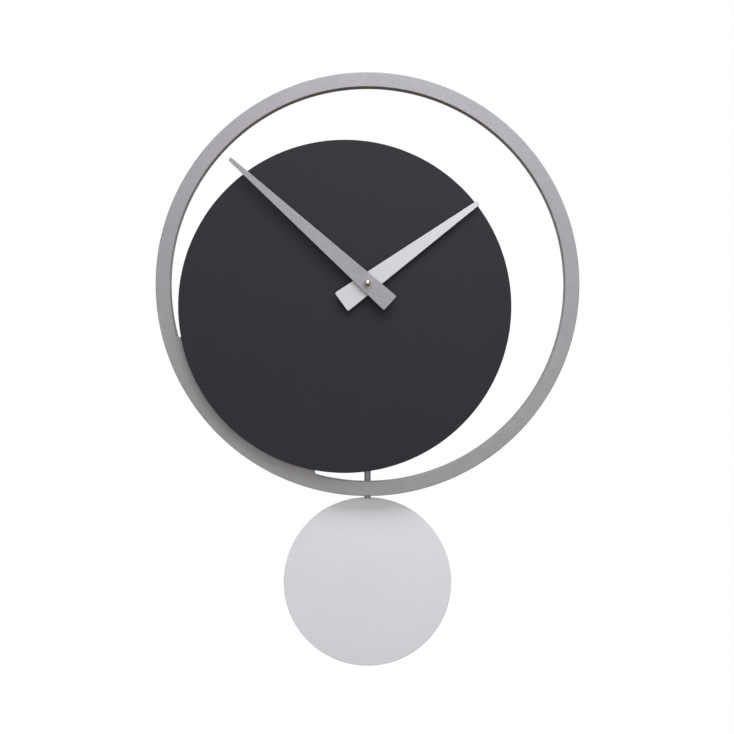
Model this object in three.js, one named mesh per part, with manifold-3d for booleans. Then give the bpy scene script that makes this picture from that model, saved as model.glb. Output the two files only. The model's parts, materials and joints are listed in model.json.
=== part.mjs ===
// Pendulum wall clock: a ring board with a crescent opening, a dark disc laid on it off-centre,
// two flat hands, a quartz movement let into the board, and a disc pendulum hanging behind the ring.
// Millimetres. Pieces are drawn facing the viewer: x right, y up, z forward from the wall.
// One outer group stands the clock up, so that +Z is up and the front faces -Y.
import * as THREE from 'three';
import Module from 'manifold-3d';
import { mergeVertices } from 'three/addons/utils/BufferGeometryUtils.js';

const wasm = await Module();
wasm.setup();

// ---- Driving dimensions ----------------------------------------------------------------------

// Boards
const bandWidth = 13;               // width of the ring where the crescent is open
const ringThickness = 12;
const discDiameter = 300;
const discThickness = 8;
const discShift = 29;               // from the hand axis, until the disc reaches the hole's edge
const discTurn = 225;               // degrees: the way that it is shifted
const bridgeTurn = 29.2;            // degrees each side of discTurn where the board stays solid
const crescentFillet = 2.7;
const discOverlap = 8;              // how far the disc hides the board's inner edge all round
const windowCorner = 3;
const windowGap = 2;                // round the movement
const spacerDepth = 22;
const spacerWidth = 130;
const spacerBar = 20;               // width of each leg
const railHeight = 24;
const legBottom = -90;              // below the hand axis

// Wall side
const hangerAboveHands = 74;
const hangerWidth = 96;
const hangerHeight = 20;
const hangerThickness = 1.5;
const hangerCorner = 3;
const hangerScrewSpacing = 26;
const keyholeSpacing = 60;
const keyholeHead = 4.5;            // radius of the hole for a screw's head
const keyholeSlot = 2.3;            // half width of the slot for its shank
const keyholeDrop = 7;              // from the head's hole up to the top of the slot
const pocketDepth = 10;             // room in the rail for the heads of the wall's screws
const pocketRoom = 0.5;
const bumperRadius = 5;

// Wood screws
const screwRadius = 1.75;
const screwHead = 3.4;
const screwHeadHeight = 1.7;
const screwPoint = 3;
const hangerScrewLength = 15;
const spacerScrewLength = 25;
const discScrewLength = 18;
const discScrewInset = 27;          // from the edge of the board that backs the disc
const railScrewInset = 14;          // from the legs' middle lines

// Movement case
const caseWidth = 56;
const caseTop = 28;                 // above the hand axis
const caseDepth = 16;
const caseCorner = 2;
const wall = 1.5;
const rib = 1;                      // inner walls of the case
const batteryRadius = 7.25;
const batteryLength = 49.2;
const batteryEdge = 0.6;            // slope round both ends
const nubRadius = 2.75;
const nubLength = 1.3;
const batteryRoom = 0.75;           // above and below the battery
const batteryFrontRoom = 0.4;
const springRoom = 2.2;             // between the battery's flat end and the wall
const contactHalf = 4;              // half width of both contacts
const contactThickness = 0.4;
const windowLip = 1;                // how far the cover overlaps the battery's room at each end
const leverRoom = 5;                // from the inner wall down to the lever's pivot
const pegRoom = 8;                  // from the hook's peg down to the case's bottom and the rod's top

// Centre of the dial
const bushRadius = 4;
const bushBore = 2.65;
const bushAboveDisc = 3.5;
const bushFlangeRadius = 5.5;
const bushFlange = 0.7;
const nutAcrossFlats = 11;
const nutHeight = 2;
const washerRadius = 8;
const washerThickness = 0.6;
const gasketRadius = 10;
const gasketThickness = 0.8;
const hourTubeRadius = 2.5;
const hourTubeBore = 1.75;
const minuteArborRadius = 1.6;
const arborTipRadius = 1.3;
const arborTip = 3;                 // length inside the cap nut
const tubeAboveHand = 0.8;

// Hands
const handThickness = 1;
const hourHandHeight = 5.1;         // back of the hand above the disc's face
const minuteHandHeight = 8.9;
const hourHand = { length: 123, tail: 29, tipWidth: 4.5, tailWidth: 20.1, corner: 1.6, turn: 36 };
const minuteHand = { length: 166, tail: 27.4, tipWidth: 3.6, tailWidth: 16.9, corner: 1.6, turn: 138 };
const colletHeight = 1.4;
const hourColletRadius = 4.5;
const minuteColletRadius = 4;
const capRadius = 3;
const capHeight = 5;

// Gears: teeth of the motion work and of the going train
const motionModule = 0.4;
const cannonTeeth = 15;
const motionTeeth = 45;
const motionPinionTeeth = 12;
const hourTeeth = 48;
const trainModule = 0.25;
const leaves = 8;                   // of every pinion in the going train
const centreTeeth = 64;
const thirdTeeth = 60;
const fourthTeeth = 48;
const intermediateTeeth = 40;
const trainArborRadius = 0.5;
const motionDirection = 150;        // degrees from the hand axis
const thirdDirection = 20;
const fourthDirection = 60;
const intermediateDirection = 100;
const rotorDirection = 180;

// Pendulum
const bobRadius = 76.8;
const bobThickness = 12;
const bobDrop = 272.4;              // bob's centre below the hand axis
const rodRadius = 3;
const rodIntoBob = 40;
const pendulumBehindRing = 9.5;     // rod's centre behind the board's back
const pegDrop = 24;                 // hook's peg below the lever's pivot
const pegRadius = 1.5;
const hookThickness = 2;

// Clearances
const fixedGap = 0.08;              // pressed, screwed or glued pieces
const looseGap = 0.3;               // washers and boards that a bush or a screw passes through
const runningGap = 0.1;             // pieces that turn
const smoothSides = 96;             // sides of the large circles
const screwSides = 12;
const overrun = 1;                  // how far a cutter runs past the face that it opens

// ---- Places that follow ----------------------------------------------------------------------

const rad = THREE.MathUtils.degToRad;
const spacerBack = hangerThickness;
const ringBack = spacerBack + spacerDepth;
const ringFront = ringBack + ringThickness;
const discFront = ringFront + discThickness;
const discRadius = discDiameter / 2;
const holeRadius = discRadius + discShift;
const ringRadius = holeRadius + bandWidth;
const discCentre = polar(discShift, discTurn);
const padRadius = discRadius - discOverlap;

const addendum = 0.75;              // tooth tips and roots, in modules from the pitch circle
const dedendum = 1.15;
const gearRoom = 1.1;               // from the hour wheel's teeth to the wall under them
const caseFront = ringFront - gasketThickness;
const caseBack = caseFront - caseDepth;
const insideFront = caseFront - wall;
const insideBack = caseBack + wall;
const gearFloor = -(motionModule * (hourTeeth / 2 + addendum) + gearRoom);
const batteryTop = gearFloor - rib;
const batteryHeight = batteryTop - batteryRoom - batteryRadius;
const batteryBottom = batteryHeight - batteryRadius - batteryRoom;
const leverCeiling = batteryBottom - rib;
const leverPivotHeight = leverCeiling - leverRoom;
const pegHeight = leverPivotHeight - pegDrop;
const caseBottom = pegHeight - pegRoom;

const bushTop = discFront + bushAboveDisc;
const hourHandBack = discFront + hourHandHeight;
const minuteHandBack = discFront + minuteHandHeight;
const capBack = minuteHandBack + handThickness + fixedGap;

const rodDepth = ringBack - pendulumBehindRing;
const rodTop = pegHeight - pegRoom;
const bobTop = -bobDrop + bobRadius;

// ---- Materials -------------------------------------------------------------------------------

const finish = (color, roughness, metalness) =>
  new THREE.MeshStandardMaterial({ color, roughness, metalness });
const silverLacquer = finish(0xd3d3d8, 0.45, 0.3);
const greyLacquer = finish(0xa5a4a9, 0.45, 0.3);
const blackLacquer = finish(0x2f2e33, 0.6, 0);
const boardFinish = finish(0x8f7658, 0.85, 0);
const steelFinish = finish(0xb8bbc0, 0.35, 1);
const brassFinish = finish(0xb08d4a, 0.3, 1);
const copperFinish = finish(0xb06a3c, 0.4, 0.9);
const rubberFinish = finish(0x1d1d1f, 0.9, 0);
const casePlastic = finish(0x26272b, 0.5, 0);
const gearPlastic = finish(0xe6e3da, 0.5, 0);
const circuitGreen = finish(0x2d6a3f, 0.6, 0);
const cellSleeve = finish(0x6f7f92, 0.35, 0.4);

// ---- Making pieces ---------------------------------------------------------------------------

const clock = new THREE.Group();
clock.rotation.x = Math.PI / 2;
const aboutHands = new THREE.Group();
aboutHands.position.y = -hangerAboveHands;
clock.add(aboutHands);

function piece(name, geometry, material, x = 0, y = 0, z = 0) {
  const mesh = new THREE.Mesh(geometry, material);
  mesh.name = name;
  mesh.position.set(x, y, z);
  aboutHands.add(mesh);
  return mesh;
}

function polar(radius, degrees) {
  return new THREE.Vector2(radius * Math.cos(rad(degrees)), radius * Math.sin(rad(degrees)));
}

function toSolid(geometry) {
  const bare = geometry.clone();
  bare.deleteAttribute('normal');
  bare.deleteAttribute('uv');
  const merged = mergeVertices(bare, 1e-4);
  const vertProperties = merged.attributes.position.array;
  const triVerts = new Uint32Array(merged.index.array);
  return new wasm.Manifold(new wasm.Mesh({ numProp: 3, vertProperties, triVerts }));
}

function toGeometry(solid) {
  const { vertProperties, triVerts } = solid.getMesh();
  const geometry = new THREE.BufferGeometry();
  geometry.setAttribute('position', new THREE.BufferAttribute(vertProperties, 3));
  geometry.setIndex(new THREE.BufferAttribute(triVerts, 1));
  geometry.computeVertexNormals();
  return geometry;
}

function join(first, ...others) {
  const whole = others.reduce((solid, other) => solid.add(toSolid(other)), toSolid(first));
  return toGeometry(whole);
}

function cut(body, ...cutters) {
  const left = cutters.reduce((solid, cutter) => solid.subtract(toSolid(cutter)), toSolid(body));
  return toGeometry(left);
}

// A flat piece cut from a drawn outline, from depth back to depth front.
function plate(shape, back, front) {
  const geometry = new THREE.ExtrudeGeometry(shape, { depth: front - back, bevelEnabled: false });
  return geometry.translate(0, 0, back);
}

// A turned piece with its axis forward. The profile runs as [radius, depth] pairs, up the outside.
function turned(profile, sides = 24) {
  const points = profile.map(([radius, depth]) => new THREE.Vector2(radius, depth));
  return new THREE.LatheGeometry(points, sides).rotateX(Math.PI / 2);
}

function rod(radius, back, front, sides = 24) {
  return turned([[0, back], [radius, back], [radius, front], [0, front]], sides);
}

function sleeve(bore, radius, back, front, sides = 24) {
  const profile = [[bore, back], [radius, back], [radius, front], [bore, front], [bore, back]];
  return turned(profile, sides);
}

function block(left, right, bottom, top, back, front) {
  const box = new THREE.BoxGeometry(right - left, top - bottom, front - back);
  return box.translate((left + right) / 2, (bottom + top) / 2, (back + front) / 2);
}

// Points along an arc, in degrees, as closely spaced as on a full circle with that many sides.
function arc(x, y, radius, from, to, sides) {
  const steps = Math.ceil(Math.abs(to - from) / 360 * sides - 1e-6);
  const points = [];
  for (let index = 0; index <= steps; index++) {
    points.push(polar(radius, from + (to - from) * index / steps).add(new THREE.Vector2(x, y)));
  }
  return points;
}

const outline = (...points) => new THREE.Shape().setFromPoints(points);

function circle(radius, x = 0, y = 0, sides = 24) {
  return outline(...arc(x, y, radius, 0, 360, sides).slice(0, -1));
}

function roundedBox(left, right, bottom, top, corner, sides = 16) {
  return outline(
    ...arc(right - corner, top - corner, corner, 0, 90, sides),
    ...arc(left + corner, top - corner, corner, 90, 180, sides),
    ...arc(left + corner, bottom + corner, corner, 180, 270, sides),
    ...arc(right - corner, bottom + corner, corner, 270, 360, sides),
  );
}

// ---- Wood screws -----------------------------------------------------------------------------

const shankHole = screwRadius + fixedGap;
const countersinkRim = screwHead + fixedGap;

// A countersunk screw whose flat head lies at the depth headFace and whose point lies forward
// (way = 1) or back (way = -1) of it.
function countersunk(headFace, length, way) {
  const neck = [screwRadius, way * screwHeadHeight];
  const shoulder = [screwRadius, way * (length - screwPoint)];
  const side = way > 0
    ? [[0, 0], [screwHead, 0], neck, shoulder, [0, length]]
    : [[0, -length], shoulder, neck, [screwHead, 0], [0, 0]];
  return turned(side.map(([radius, depth]) => [radius, headFace + depth]), screwSides);
}

function countersinkCutter(headFace, way, x, y) {
  const rim = [countersinkRim, 0];
  const neck = [shankHole, way * screwHeadHeight];
  const side = way > 0
    ? [[0, -overrun], [countersinkRim, -overrun], rim, neck, [0, way * screwHeadHeight]]
    : [[0, -screwHeadHeight], neck, rim, [countersinkRim, overrun], [0, overrun]];
  const profile = side.map(([radius, depth]) => [radius, headFace + depth]);
  return turned(profile, screwSides).translate(x, y, 0);
}

function hole(radius, back, front, x, y, sides = screwSides) {
  return rod(radius, back, front, sides).translate(x, y, 0);
}

const legCentre = (spacerWidth - spacerBar) / 2;
const railTop = hangerAboveHands + railHeight / 2;
const railBottom = hangerAboveHands - railHeight / 2;
const spacerScrews = [
  ['rail_left', railScrewInset - legCentre, hangerAboveHands],
  ['rail_right', legCentre - railScrewInset, hangerAboveHands],
  ['left_upper', -legCentre, railBottom - spacerBar],
  ['right_upper', legCentre, railBottom - spacerBar],
  ['left_lower', -legCentre, legBottom + spacerBar],
  ['right_lower', legCentre, legBottom + spacerBar],
];
const discScrews = [0, 90, 180, 270].map((turn) =>
  polar(padRadius - discScrewInset, turn).add(discCentre));

for (const [place, x, y] of spacerScrews) {
  piece(`spacer_screw_${place}`, countersunk(ringFront, spacerScrewLength, -1), steelFinish, x, y);
}
discScrews.forEach((at, index) => {
  const back = ringBack - screwHeadHeight;
  const profile = [
    [0, back], [screwHead, back], [screwHead, ringBack], [screwRadius, ringBack],
    [screwRadius, ringBack + discScrewLength - screwPoint], [0, ringBack + discScrewLength],
  ];
  piece(`disc_screw_${index + 1}`, turned(profile, screwSides), steelFinish, at.x, at.y);
});

// ---- Ring board, disc and spacer -------------------------------------------------------------

// The crescent opening: inside the hole's circle, outside the pad that backs the disc, and closed
// by the solid bridge where the disc meets the ring. The cutter leaves its radius in both corners.
function crescent() {
  const from = discTurn + bridgeTurn - 360;
  const to = discTurn - bridgeTurn;
  const inner = holeRadius - crescentFillet;
  const lean = THREE.MathUtils.radToDeg(Math.asin(crescentFillet / inner));
  const cornerOf = (turn, start, end) => {
    const at = polar(inner, turn);
    return arc(at.x, at.y, crescentFillet, start, end, 24);
  };
  // the turn, about the disc's centre, at which a line from the ring's centre leaves the pad
  const aroundPad = (turn) => {
    const way = polar(1, turn);
    const along = way.dot(discCentre);
    const reach = along + Math.sqrt(along ** 2 - discCentre.lengthSq() + padRadius ** 2);
    const point = way.multiplyScalar(reach).sub(discCentre);
    return THREE.MathUtils.radToDeg(Math.atan2(point.y, point.x));
  };
  return outline(
    ...cornerOf(from + lean, from - 90, from + lean),
    ...arc(0, 0, holeRadius, from + lean, to - lean, smoothSides),
    ...cornerOf(to - lean, to - lean, to + 90),
    ...arc(discCentre.x, discCentre.y, padRadius, aroundPad(to) + 360, aroundPad(from), smoothSides),
  );
}

const windowShape = roundedBox(-caseWidth / 2 - windowGap, caseWidth / 2 + windowGap,
  caseBottom - windowGap, caseTop + windowGap, windowCorner);
const ringShape = circle(ringRadius, 0, 0, smoothSides);
ringShape.holes.push(crescent(), windowShape);
const ringCutters = [
  ...spacerScrews.map(([, x, y]) => hole(shankHole, ringBack - overrun, ringFront, x, y)),
  ...spacerScrews.map(([, x, y]) => countersinkCutter(ringFront, -1, x, y)),
  ...discScrews.map((at) => hole(shankHole, ringBack - overrun, ringFront + overrun, at.x, at.y)),
];
piece('ring_board', cut(plate(ringShape, ringBack, ringFront), ...ringCutters), greyLacquer);

const discShape = circle(discRadius, discCentre.x, discCentre.y, smoothSides);
discShape.holes.push(circle(bushRadius + looseGap));
const discPilots = discScrews.map((at) =>
  hole(shankHole, ringFront - overrun, ringBack + discScrewLength + fixedGap, at.x, at.y));
piece('dial_disc', cut(plate(discShape, ringFront, discFront), ...discPilots), blackLacquer);

const pilotBack = ringFront - spacerScrewLength - fixedGap;
const pocketBack = spacerBack - overrun;
const pocketFront = spacerBack + pocketDepth;
const keyholes = [-keyholeSpacing / 2, keyholeSpacing / 2];
const hangerScrews = [['left', -hangerScrewSpacing / 2], ['right', hangerScrewSpacing / 2]];
const keyholeBottom = hangerAboveHands - keyholeDrop / 2;
const pocketHalf = keyholeHead + pocketRoom;

const railCutters = [
  ...keyholes.map((x) => plate(roundedBox(x - pocketHalf, x + pocketHalf,
    keyholeBottom - pocketHalf, keyholeBottom + keyholeDrop + pocketHalf, keyholeHead),
  pocketBack, pocketFront)),
  ...hangerScrews.map(([, x]) =>
    hole(shankHole, pocketBack, hangerScrewLength + fixedGap, x, hangerAboveHands)),
  ...hangerScrews.map(([, x]) => countersinkCutter(0, 1, x, hangerAboveHands)),
];
const pilots = (test) => spacerScrews.filter(([place]) => place.includes(test)).map(([, x, y]) =>
  hole(shankHole, pilotBack, ringBack + overrun, x, y));
const rail = block(-spacerWidth / 2, spacerWidth / 2, railBottom, railTop, spacerBack, ringBack);
piece('spacer_rail', cut(rail, ...railCutters, ...pilots('rail')), boardFinish);
for (const [side, way] of [['left', -1], ['right', 1]]) {
  const outer = way * spacerWidth / 2;
  const inner = outer - way * spacerBar;
  const leg = block(Math.min(outer, inner), Math.max(outer, inner), legBottom, railBottom,
    spacerBack, ringBack);
  piece(`spacer_leg_${side}`, cut(leg, ...pilots(`${side}_`)), boardFinish);
  piece(`wall_bumper_${side}`, rod(bumperRadius, 0, hangerThickness), rubberFinish,
    way * legCentre, legBottom + spacerBar / 2);
}

const hangerShape = roundedBox(-hangerWidth / 2, hangerWidth / 2,
  hangerAboveHands - hangerHeight / 2, hangerAboveHands + hangerHeight / 2, hangerCorner);
for (const x of keyholes) {
  const shoulder = THREE.MathUtils.radToDeg(Math.asin(keyholeSlot / keyholeHead));
  hangerShape.holes.push(outline(
    ...arc(x, keyholeBottom, keyholeHead, 90 + shoulder, 450 - shoulder, 24),
    ...arc(x, keyholeBottom + keyholeDrop, keyholeSlot, 0, 180, 16),
  ));
}
const hangerCutters = hangerScrews.flatMap(([, x]) => [
  countersinkCutter(0, 1, x, hangerAboveHands),
  hole(shankHole, 0, hangerThickness + overrun, x, hangerAboveHands),
]);
piece('hanger_plate', cut(plate(hangerShape, 0, hangerThickness), ...hangerCutters), steelFinish);
for (const [side, x] of hangerScrews) {
  piece(`hanger_screw_${side}`, countersunk(0, hangerScrewLength, 1), steelFinish,
    x, hangerAboveHands);
}

// ---- Movement case ---------------------------------------------------------------------------

const inX = caseWidth / 2 - wall;
const inTop = caseTop - wall;
const inBottom = caseBottom + wall;
const pegSwing = 6;                 // half width and half height of the window that the peg swings in
const pegRise = 4;

const motionAt = polar(motionModule * (cannonTeeth + motionTeeth) / 2, motionDirection);
const step = (from, teeth, direction) =>
  polar(trainModule * (teeth + leaves) / 2, direction).add(from);
const centreAt = new THREE.Vector2(0, 0);
const thirdAt = step(centreAt, centreTeeth, thirdDirection);
const fourthAt = step(thirdAt, thirdTeeth, fourthDirection);
const intermediateAt = step(fourthAt, fourthTeeth, intermediateDirection);
const rotorAt = step(intermediateAt, intermediateTeeth, rotorDirection);

const pivotDepth = 0.7;
const pivotHole = trainArborRadius + runningGap;
const motionArborRadius = 1.2;
const leverPinRadius = 1;
const leverBossRadius = 2.6;
const leverBossLength = 6;
const leverBossBack = insideFront - leverBossLength;

const caseOutline = roundedBox(-caseWidth / 2, caseWidth / 2, caseBottom, caseTop, caseCorner);
const caseShell = plate(caseOutline, insideBack, caseFront);
const room = (bottom, top) => block(-inX, inX, bottom, top, insideBack - overrun, insideFront);
const frontCutters = [
  room(gearFloor, inTop),
  room(batteryBottom, batteryTop),
  room(inBottom, leverCeiling),
  hole(bushRadius + fixedGap, insideFront - overrun, caseFront + overrun, 0, 0, 24),
  ...[rotorAt, motionAt].map((at) =>
    hole(pivotHole, insideFront - overrun, insideFront + pivotDepth, at.x, at.y)),
];
const leverBoss = rod(leverBossRadius, leverBossBack, insideFront + wall / 2, 16)
  .translate(0, leverPivotHeight, 0);
const leverBossBore = hole(leverPinRadius + fixedGap, leverBossBack - overrun, insideFront,
  0, leverPivotHeight);
piece('case_front', cut(join(cut(caseShell, ...frontCutters), leverBoss), leverBossBore), casePlastic);

const rearCover = plate(caseOutline, caseBack, insideBack);
const trainPivots = [centreAt, thirdAt, fourthAt, intermediateAt, rotorAt];
const cutBack = caseBack - overrun;
const cutFront = insideBack + overrun;
const rearCutters = [
  block(windowLip - inX, inX - windowLip, batteryBottom + windowLip / 2, batteryTop - windowLip / 2,
    cutBack, cutFront),
  block(-pegSwing, pegSwing, pegHeight - pegRise, pegHeight + pegRise, cutBack, cutFront),
  hole(motionArborRadius + runningGap, cutBack, cutFront, motionAt.x, motionAt.y),
  hole(leverPinRadius + fixedGap, cutBack, cutFront, 0, leverPivotHeight),
  ...trainPivots.map((at) => hole(pivotHole, insideBack - pivotDepth, cutFront, at.x, at.y)),
];
piece('case_rear', cut(rearCover, ...rearCutters), casePlastic);

// ---- Centre bush and dial fastening ----------------------------------------------------------

const bushProfile = [
  [bushBore, insideFront - bushFlange], [bushFlangeRadius, insideFront - bushFlange],
  [bushFlangeRadius, insideFront], [bushRadius, insideFront], [bushRadius, bushTop],
  [bushBore, bushTop], [bushBore, insideFront - bushFlange],
];
piece('mounting_bush', turned(bushProfile), brassFinish);
const nutBack = discFront + washerThickness;
piece('rubber_washer', sleeve(bushRadius + looseGap, gasketRadius, caseFront, ringFront), rubberFinish);
piece('dial_washer', sleeve(bushRadius + looseGap / 2, washerRadius, discFront, nutBack), brassFinish);

const nutShape = circle(nutAcrossFlats / 2 / Math.cos(Math.PI / 6), 0, 0, 6);
nutShape.holes.push(circle(bushRadius + fixedGap));
piece('dial_nut', plate(nutShape, nutBack, nutBack + nutHeight), brassFinish);

// ---- Gears -----------------------------------------------------------------------------------

const pressureAngle = rad(20);
const involute = (angle) => Math.tan(angle) - angle;
const backlash = 0.2;               // share of the tooth's thickness that is taken off

// Outline of a gear with a tooth centred at the angle phase, in radians.
function gearShape(module, teeth, phase) {
  const pitch = module * teeth / 2;
  const base = pitch * Math.cos(pressureAngle);
  const halfAtPitch = Math.PI / 2 / teeth * (1 - backlash);
  const halfAt = (radius) => {
    const angle = radius > base ? Math.acos(base / radius) : 0;
    return halfAtPitch + involute(pressureAngle) - involute(angle);
  };
  const root = pitch - dedendum * module;
  const tip = pitch + addendum * module;
  const flank = teeth < 20 ? [root, pitch, tip] : [root, tip];
  const points = [];
  for (let tooth = 0; tooth < teeth; tooth++) {
    const middle = phase + tooth * Math.PI * 2 / teeth;
    const rise = flank.map((radius) => [radius, middle - halfAt(radius)]);
    const fall = flank.map((radius) => [radius, middle + halfAt(radius)]).reverse();
    for (const [radius, angle] of [...rise, ...fall]) {
      points.push(new THREE.Vector2(radius * Math.cos(angle), radius * Math.sin(angle)));
    }
  }
  return outline(...points);
}

const gear = (module, teeth, phase, back, front) =>
  plate(gearShape(module, teeth, phase), back, front);

// The phase that puts a driven gear's gap on the driver's tooth, seen along direction.
function meshed(driverTeeth, driverPhase, direction, drivenTeeth) {
  const angle = rad(direction);
  const ahead = (driverPhase - angle) * driverTeeth / drivenTeeth;
  return angle + Math.PI + Math.PI / drivenTeeth - ahead;
}

// Motion work: the cannon pinion drives the motion wheel, whose pinion drives the hour wheel.
const wheelThickness = 1;
const motionBack = insideFront - 4;
const motionPinionFront = insideFront - 0.8;
const motionArborLength = 3;        // out of the case, for the knob
const cannonPhase = rad(motionDirection);
const motionPhase = meshed(cannonTeeth, cannonPhase, motionDirection, motionTeeth);
const hourPhase = rad(motionDirection);
const motionPinionPhase = meshed(hourTeeth, hourPhase, motionDirection, motionPinionTeeth);
const hourWheelBack = insideFront - 2.2;
const hourTubeTop = hourHandBack + handThickness + tubeAboveHand;
const hourWheelSolid = join(
  gear(motionModule, hourTeeth, hourPhase, hourWheelBack, hourWheelBack + wheelThickness),
  rod(hourTubeRadius, hourWheelBack, hourTubeTop),
);
piece('hour_wheel', cut(hourWheelSolid,
  rod(hourTubeBore, hourWheelBack - overrun, hourTubeTop + overrun)), gearPlastic);
const motionMiddle = motionBack + wheelThickness / 2;
piece('motion_wheel', join(
  gear(motionModule, motionTeeth, motionPhase, motionBack, motionBack + wheelThickness),
  gear(motionModule, motionPinionTeeth, motionPinionPhase, motionMiddle, motionPinionFront),
  rod(motionArborRadius, caseBack - motionArborLength, motionMiddle, 12),
  rod(trainArborRadius, motionBack, insideFront + pivotDepth - runningGap, 12),
), gearPlastic, motionAt.x, motionAt.y);

const knobRadius = 5;
const knobGroove = 0.4;
const knobFront = caseBack - 0.4;
const knobBack = caseBack - motionArborLength;
const knobRidges = 18;
const knobPoints = [];
for (let ridge = 0; ridge < knobRidges * 2; ridge++) {
  knobPoints.push(polar(ridge % 2 ? knobRadius - knobGroove : knobRadius, ridge * 180 / knobRidges));
}
const knobShape = outline(...knobPoints);
knobShape.holes.push(circle(motionArborRadius + fixedGap, 0, 0, 12));
piece('setting_knob', plate(knobShape, knobBack, knobFront), casePlastic, motionAt.x, motionAt.y);

// Going train, from the stepping rotor to the centre wheel. Depths are counted from the rear cover.
const depthOf = (fromCover) => insideBack + fromCover;
const bridgeThickness = 1;
const bridgeBack = depthOf(7);
const bridgeFront = bridgeBack + bridgeThickness;
const arborEnd = bridgeFront - 0.2;
const trainThickness = 0.8;
const arborStart = insideBack - pivotDepth + runningGap;

const thirdPinionPhase = meshed(centreTeeth, 0, thirdDirection, leaves);
const fourthPinionPhase = meshed(thirdTeeth, 0, fourthDirection, leaves);
const intermediatePinionPhase = meshed(fourthTeeth, 0, intermediateDirection, leaves);
const rotorPinionPhase = meshed(intermediateTeeth, 0, rotorDirection, leaves);

function trainWheel(name, at, teeth, wheelBack, pinionPhase, pinionBack, pinionFront) {
  piece(name, join(
    gear(trainModule, teeth, 0, wheelBack, wheelBack + trainThickness),
    gear(trainModule, leaves, pinionPhase, pinionBack, pinionFront),
    rod(trainArborRadius, arborStart, arborEnd, 12),
  ), gearPlastic, at.x, at.y);
}
trainWheel('third_wheel', thirdAt, thirdTeeth, depthOf(0.6),
  thirdPinionPhase, depthOf(1.2), depthOf(3.2));
trainWheel('fourth_wheel', fourthAt, fourthTeeth, depthOf(3.9),
  fourthPinionPhase, depthOf(0.3), depthOf(4.2));
trainWheel('intermediate_wheel', intermediateAt, intermediateTeeth, depthOf(5.5),
  intermediatePinionPhase, depthOf(3.6), depthOf(5.7));

const rotorRadius = 3;
const rotorLength = 2.2;
const rotorBack = bridgeFront + 0.2;
piece('rotor', join(
  gear(trainModule, leaves, rotorPinionPhase, depthOf(5.2), rotorBack + 0.2),
  rod(rotorRadius, rotorBack, rotorBack + rotorLength),
  rod(trainArborRadius, arborStart, insideFront + pivotDepth - runningGap, 12),
), steelFinish, rotorAt.x, rotorAt.y);

const centreWheelBack = depthOf(2.1);
const centreGear = gearShape(trainModule, centreTeeth, 0);
centreGear.holes.push(circle(minuteArborRadius + runningGap));
piece('centre_wheel', plate(centreGear, centreWheelBack, centreWheelBack + trainThickness), gearPlastic);

// The minute arbor runs through the centre wheel, which holds it by friction only.
const cannonLength = 1.5;
const cannonBack = motionBack - 0.3;
const clutchRadius = 2.6;
const clutchBack = centreWheelBack + trainThickness + runningGap;
const clutchThickness = 1.1;
piece('minute_arbor', join(
  rod(trainArborRadius, arborStart, centreWheelBack, 12),
  rod(minuteArborRadius, depthOf(1.8), capBack - fixedGap),
  rod(clutchRadius, clutchBack, clutchBack + clutchThickness),
  gear(motionModule, cannonTeeth, cannonPhase, cannonBack, cannonBack + cannonLength),
  rod(arborTipRadius, minuteHandBack, capBack + arborTip, 12),
), gearPlastic);

// ---- Bridge, stepping motor and circuit ------------------------------------------------------

const bridge = { left: -5, right: 17.4, bottom: -5.2, top: 26.3, corner: 1 };
const pillarRadius = 1;
const pillarInset = 1.3;
const bridgeShape = roundedBox(bridge.left, bridge.right, bridge.bottom, bridge.top, bridge.corner);
bridgeShape.holes.push(circle(clutchRadius + runningGap));
for (const at of [thirdAt, fourthAt, intermediateAt]) {
  bridgeShape.holes.push(circle(pivotHole, at.x, at.y, 12));
}
bridgeShape.holes.push(circle(rotorRadius + runningGap * 2, rotorAt.x, rotorAt.y));
const pillars = [
  [bridge.left + pillarInset, bridge.top - pillarInset],
  [bridge.right - pillarInset, bridge.bottom + pillarInset],
  [bridge.right - pillarInset, bridge.top - pillarInset],
].map(([x, y]) => hole(pillarRadius, bridgeBack + bridgeThickness / 2, insideFront, x, y));
piece('train_bridge', join(plate(bridgeShape, bridgeBack, bridgeFront), ...pillars), gearPlastic);

// The stator's plate surrounds the rotor, and its far limb is the core of the coil.
const statorThickness = 1.2;
const airGap = 0.5;
const coreLeft = 20.4;
const coreRight = 23.6;
const poles = { left: 0.6, right: 7.5, bottom: 8 };
const yoke = { windowLeft: 10.4, bottom: 2, windowBottom: 5, windowTop: 20.8, top: 23.4, corner: 0.5 };
const corners = (...pairs) => outline(...pairs.map(([x, y]) => new THREE.Vector2(x, y)));
const statorShape = corners([poles.left, poles.bottom], [poles.right, poles.bottom],
  [poles.right, yoke.bottom], [coreRight, yoke.bottom], [coreRight, yoke.top], [poles.left, yoke.top]);
statorShape.holes.push(circle(rotorRadius + airGap, rotorAt.x, rotorAt.y));
statorShape.holes.push(roundedBox(yoke.windowLeft, coreLeft, yoke.windowBottom, yoke.windowTop,
  yoke.corner));
piece('stator', plate(statorShape, bridgeFront, bridgeFront + statorThickness), steelFinish);

const coilRadius = 3.5;
const coilLength = 13;
const coilMiddle = bridgeFront + statorThickness / 2;
const coilShape = circle(coilRadius);
const coreHalf = (coreRight - coreLeft) / 2 + fixedGap;
const coreRise = statorThickness / 2 + fixedGap;
coilShape.holes.push(corners([-coreHalf, -coreRise], [coreHalf, -coreRise], [coreHalf, coreRise],
  [-coreHalf, coreRise]));
const driveCoil = plate(coilShape, -coilLength / 2, coilLength / 2).rotateX(Math.PI / 2);
piece('drive_coil', driveCoil, copperFinish, (coreLeft + coreRight) / 2,
  (yoke.windowBottom + yoke.windowTop) / 2, coilMiddle);

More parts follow.
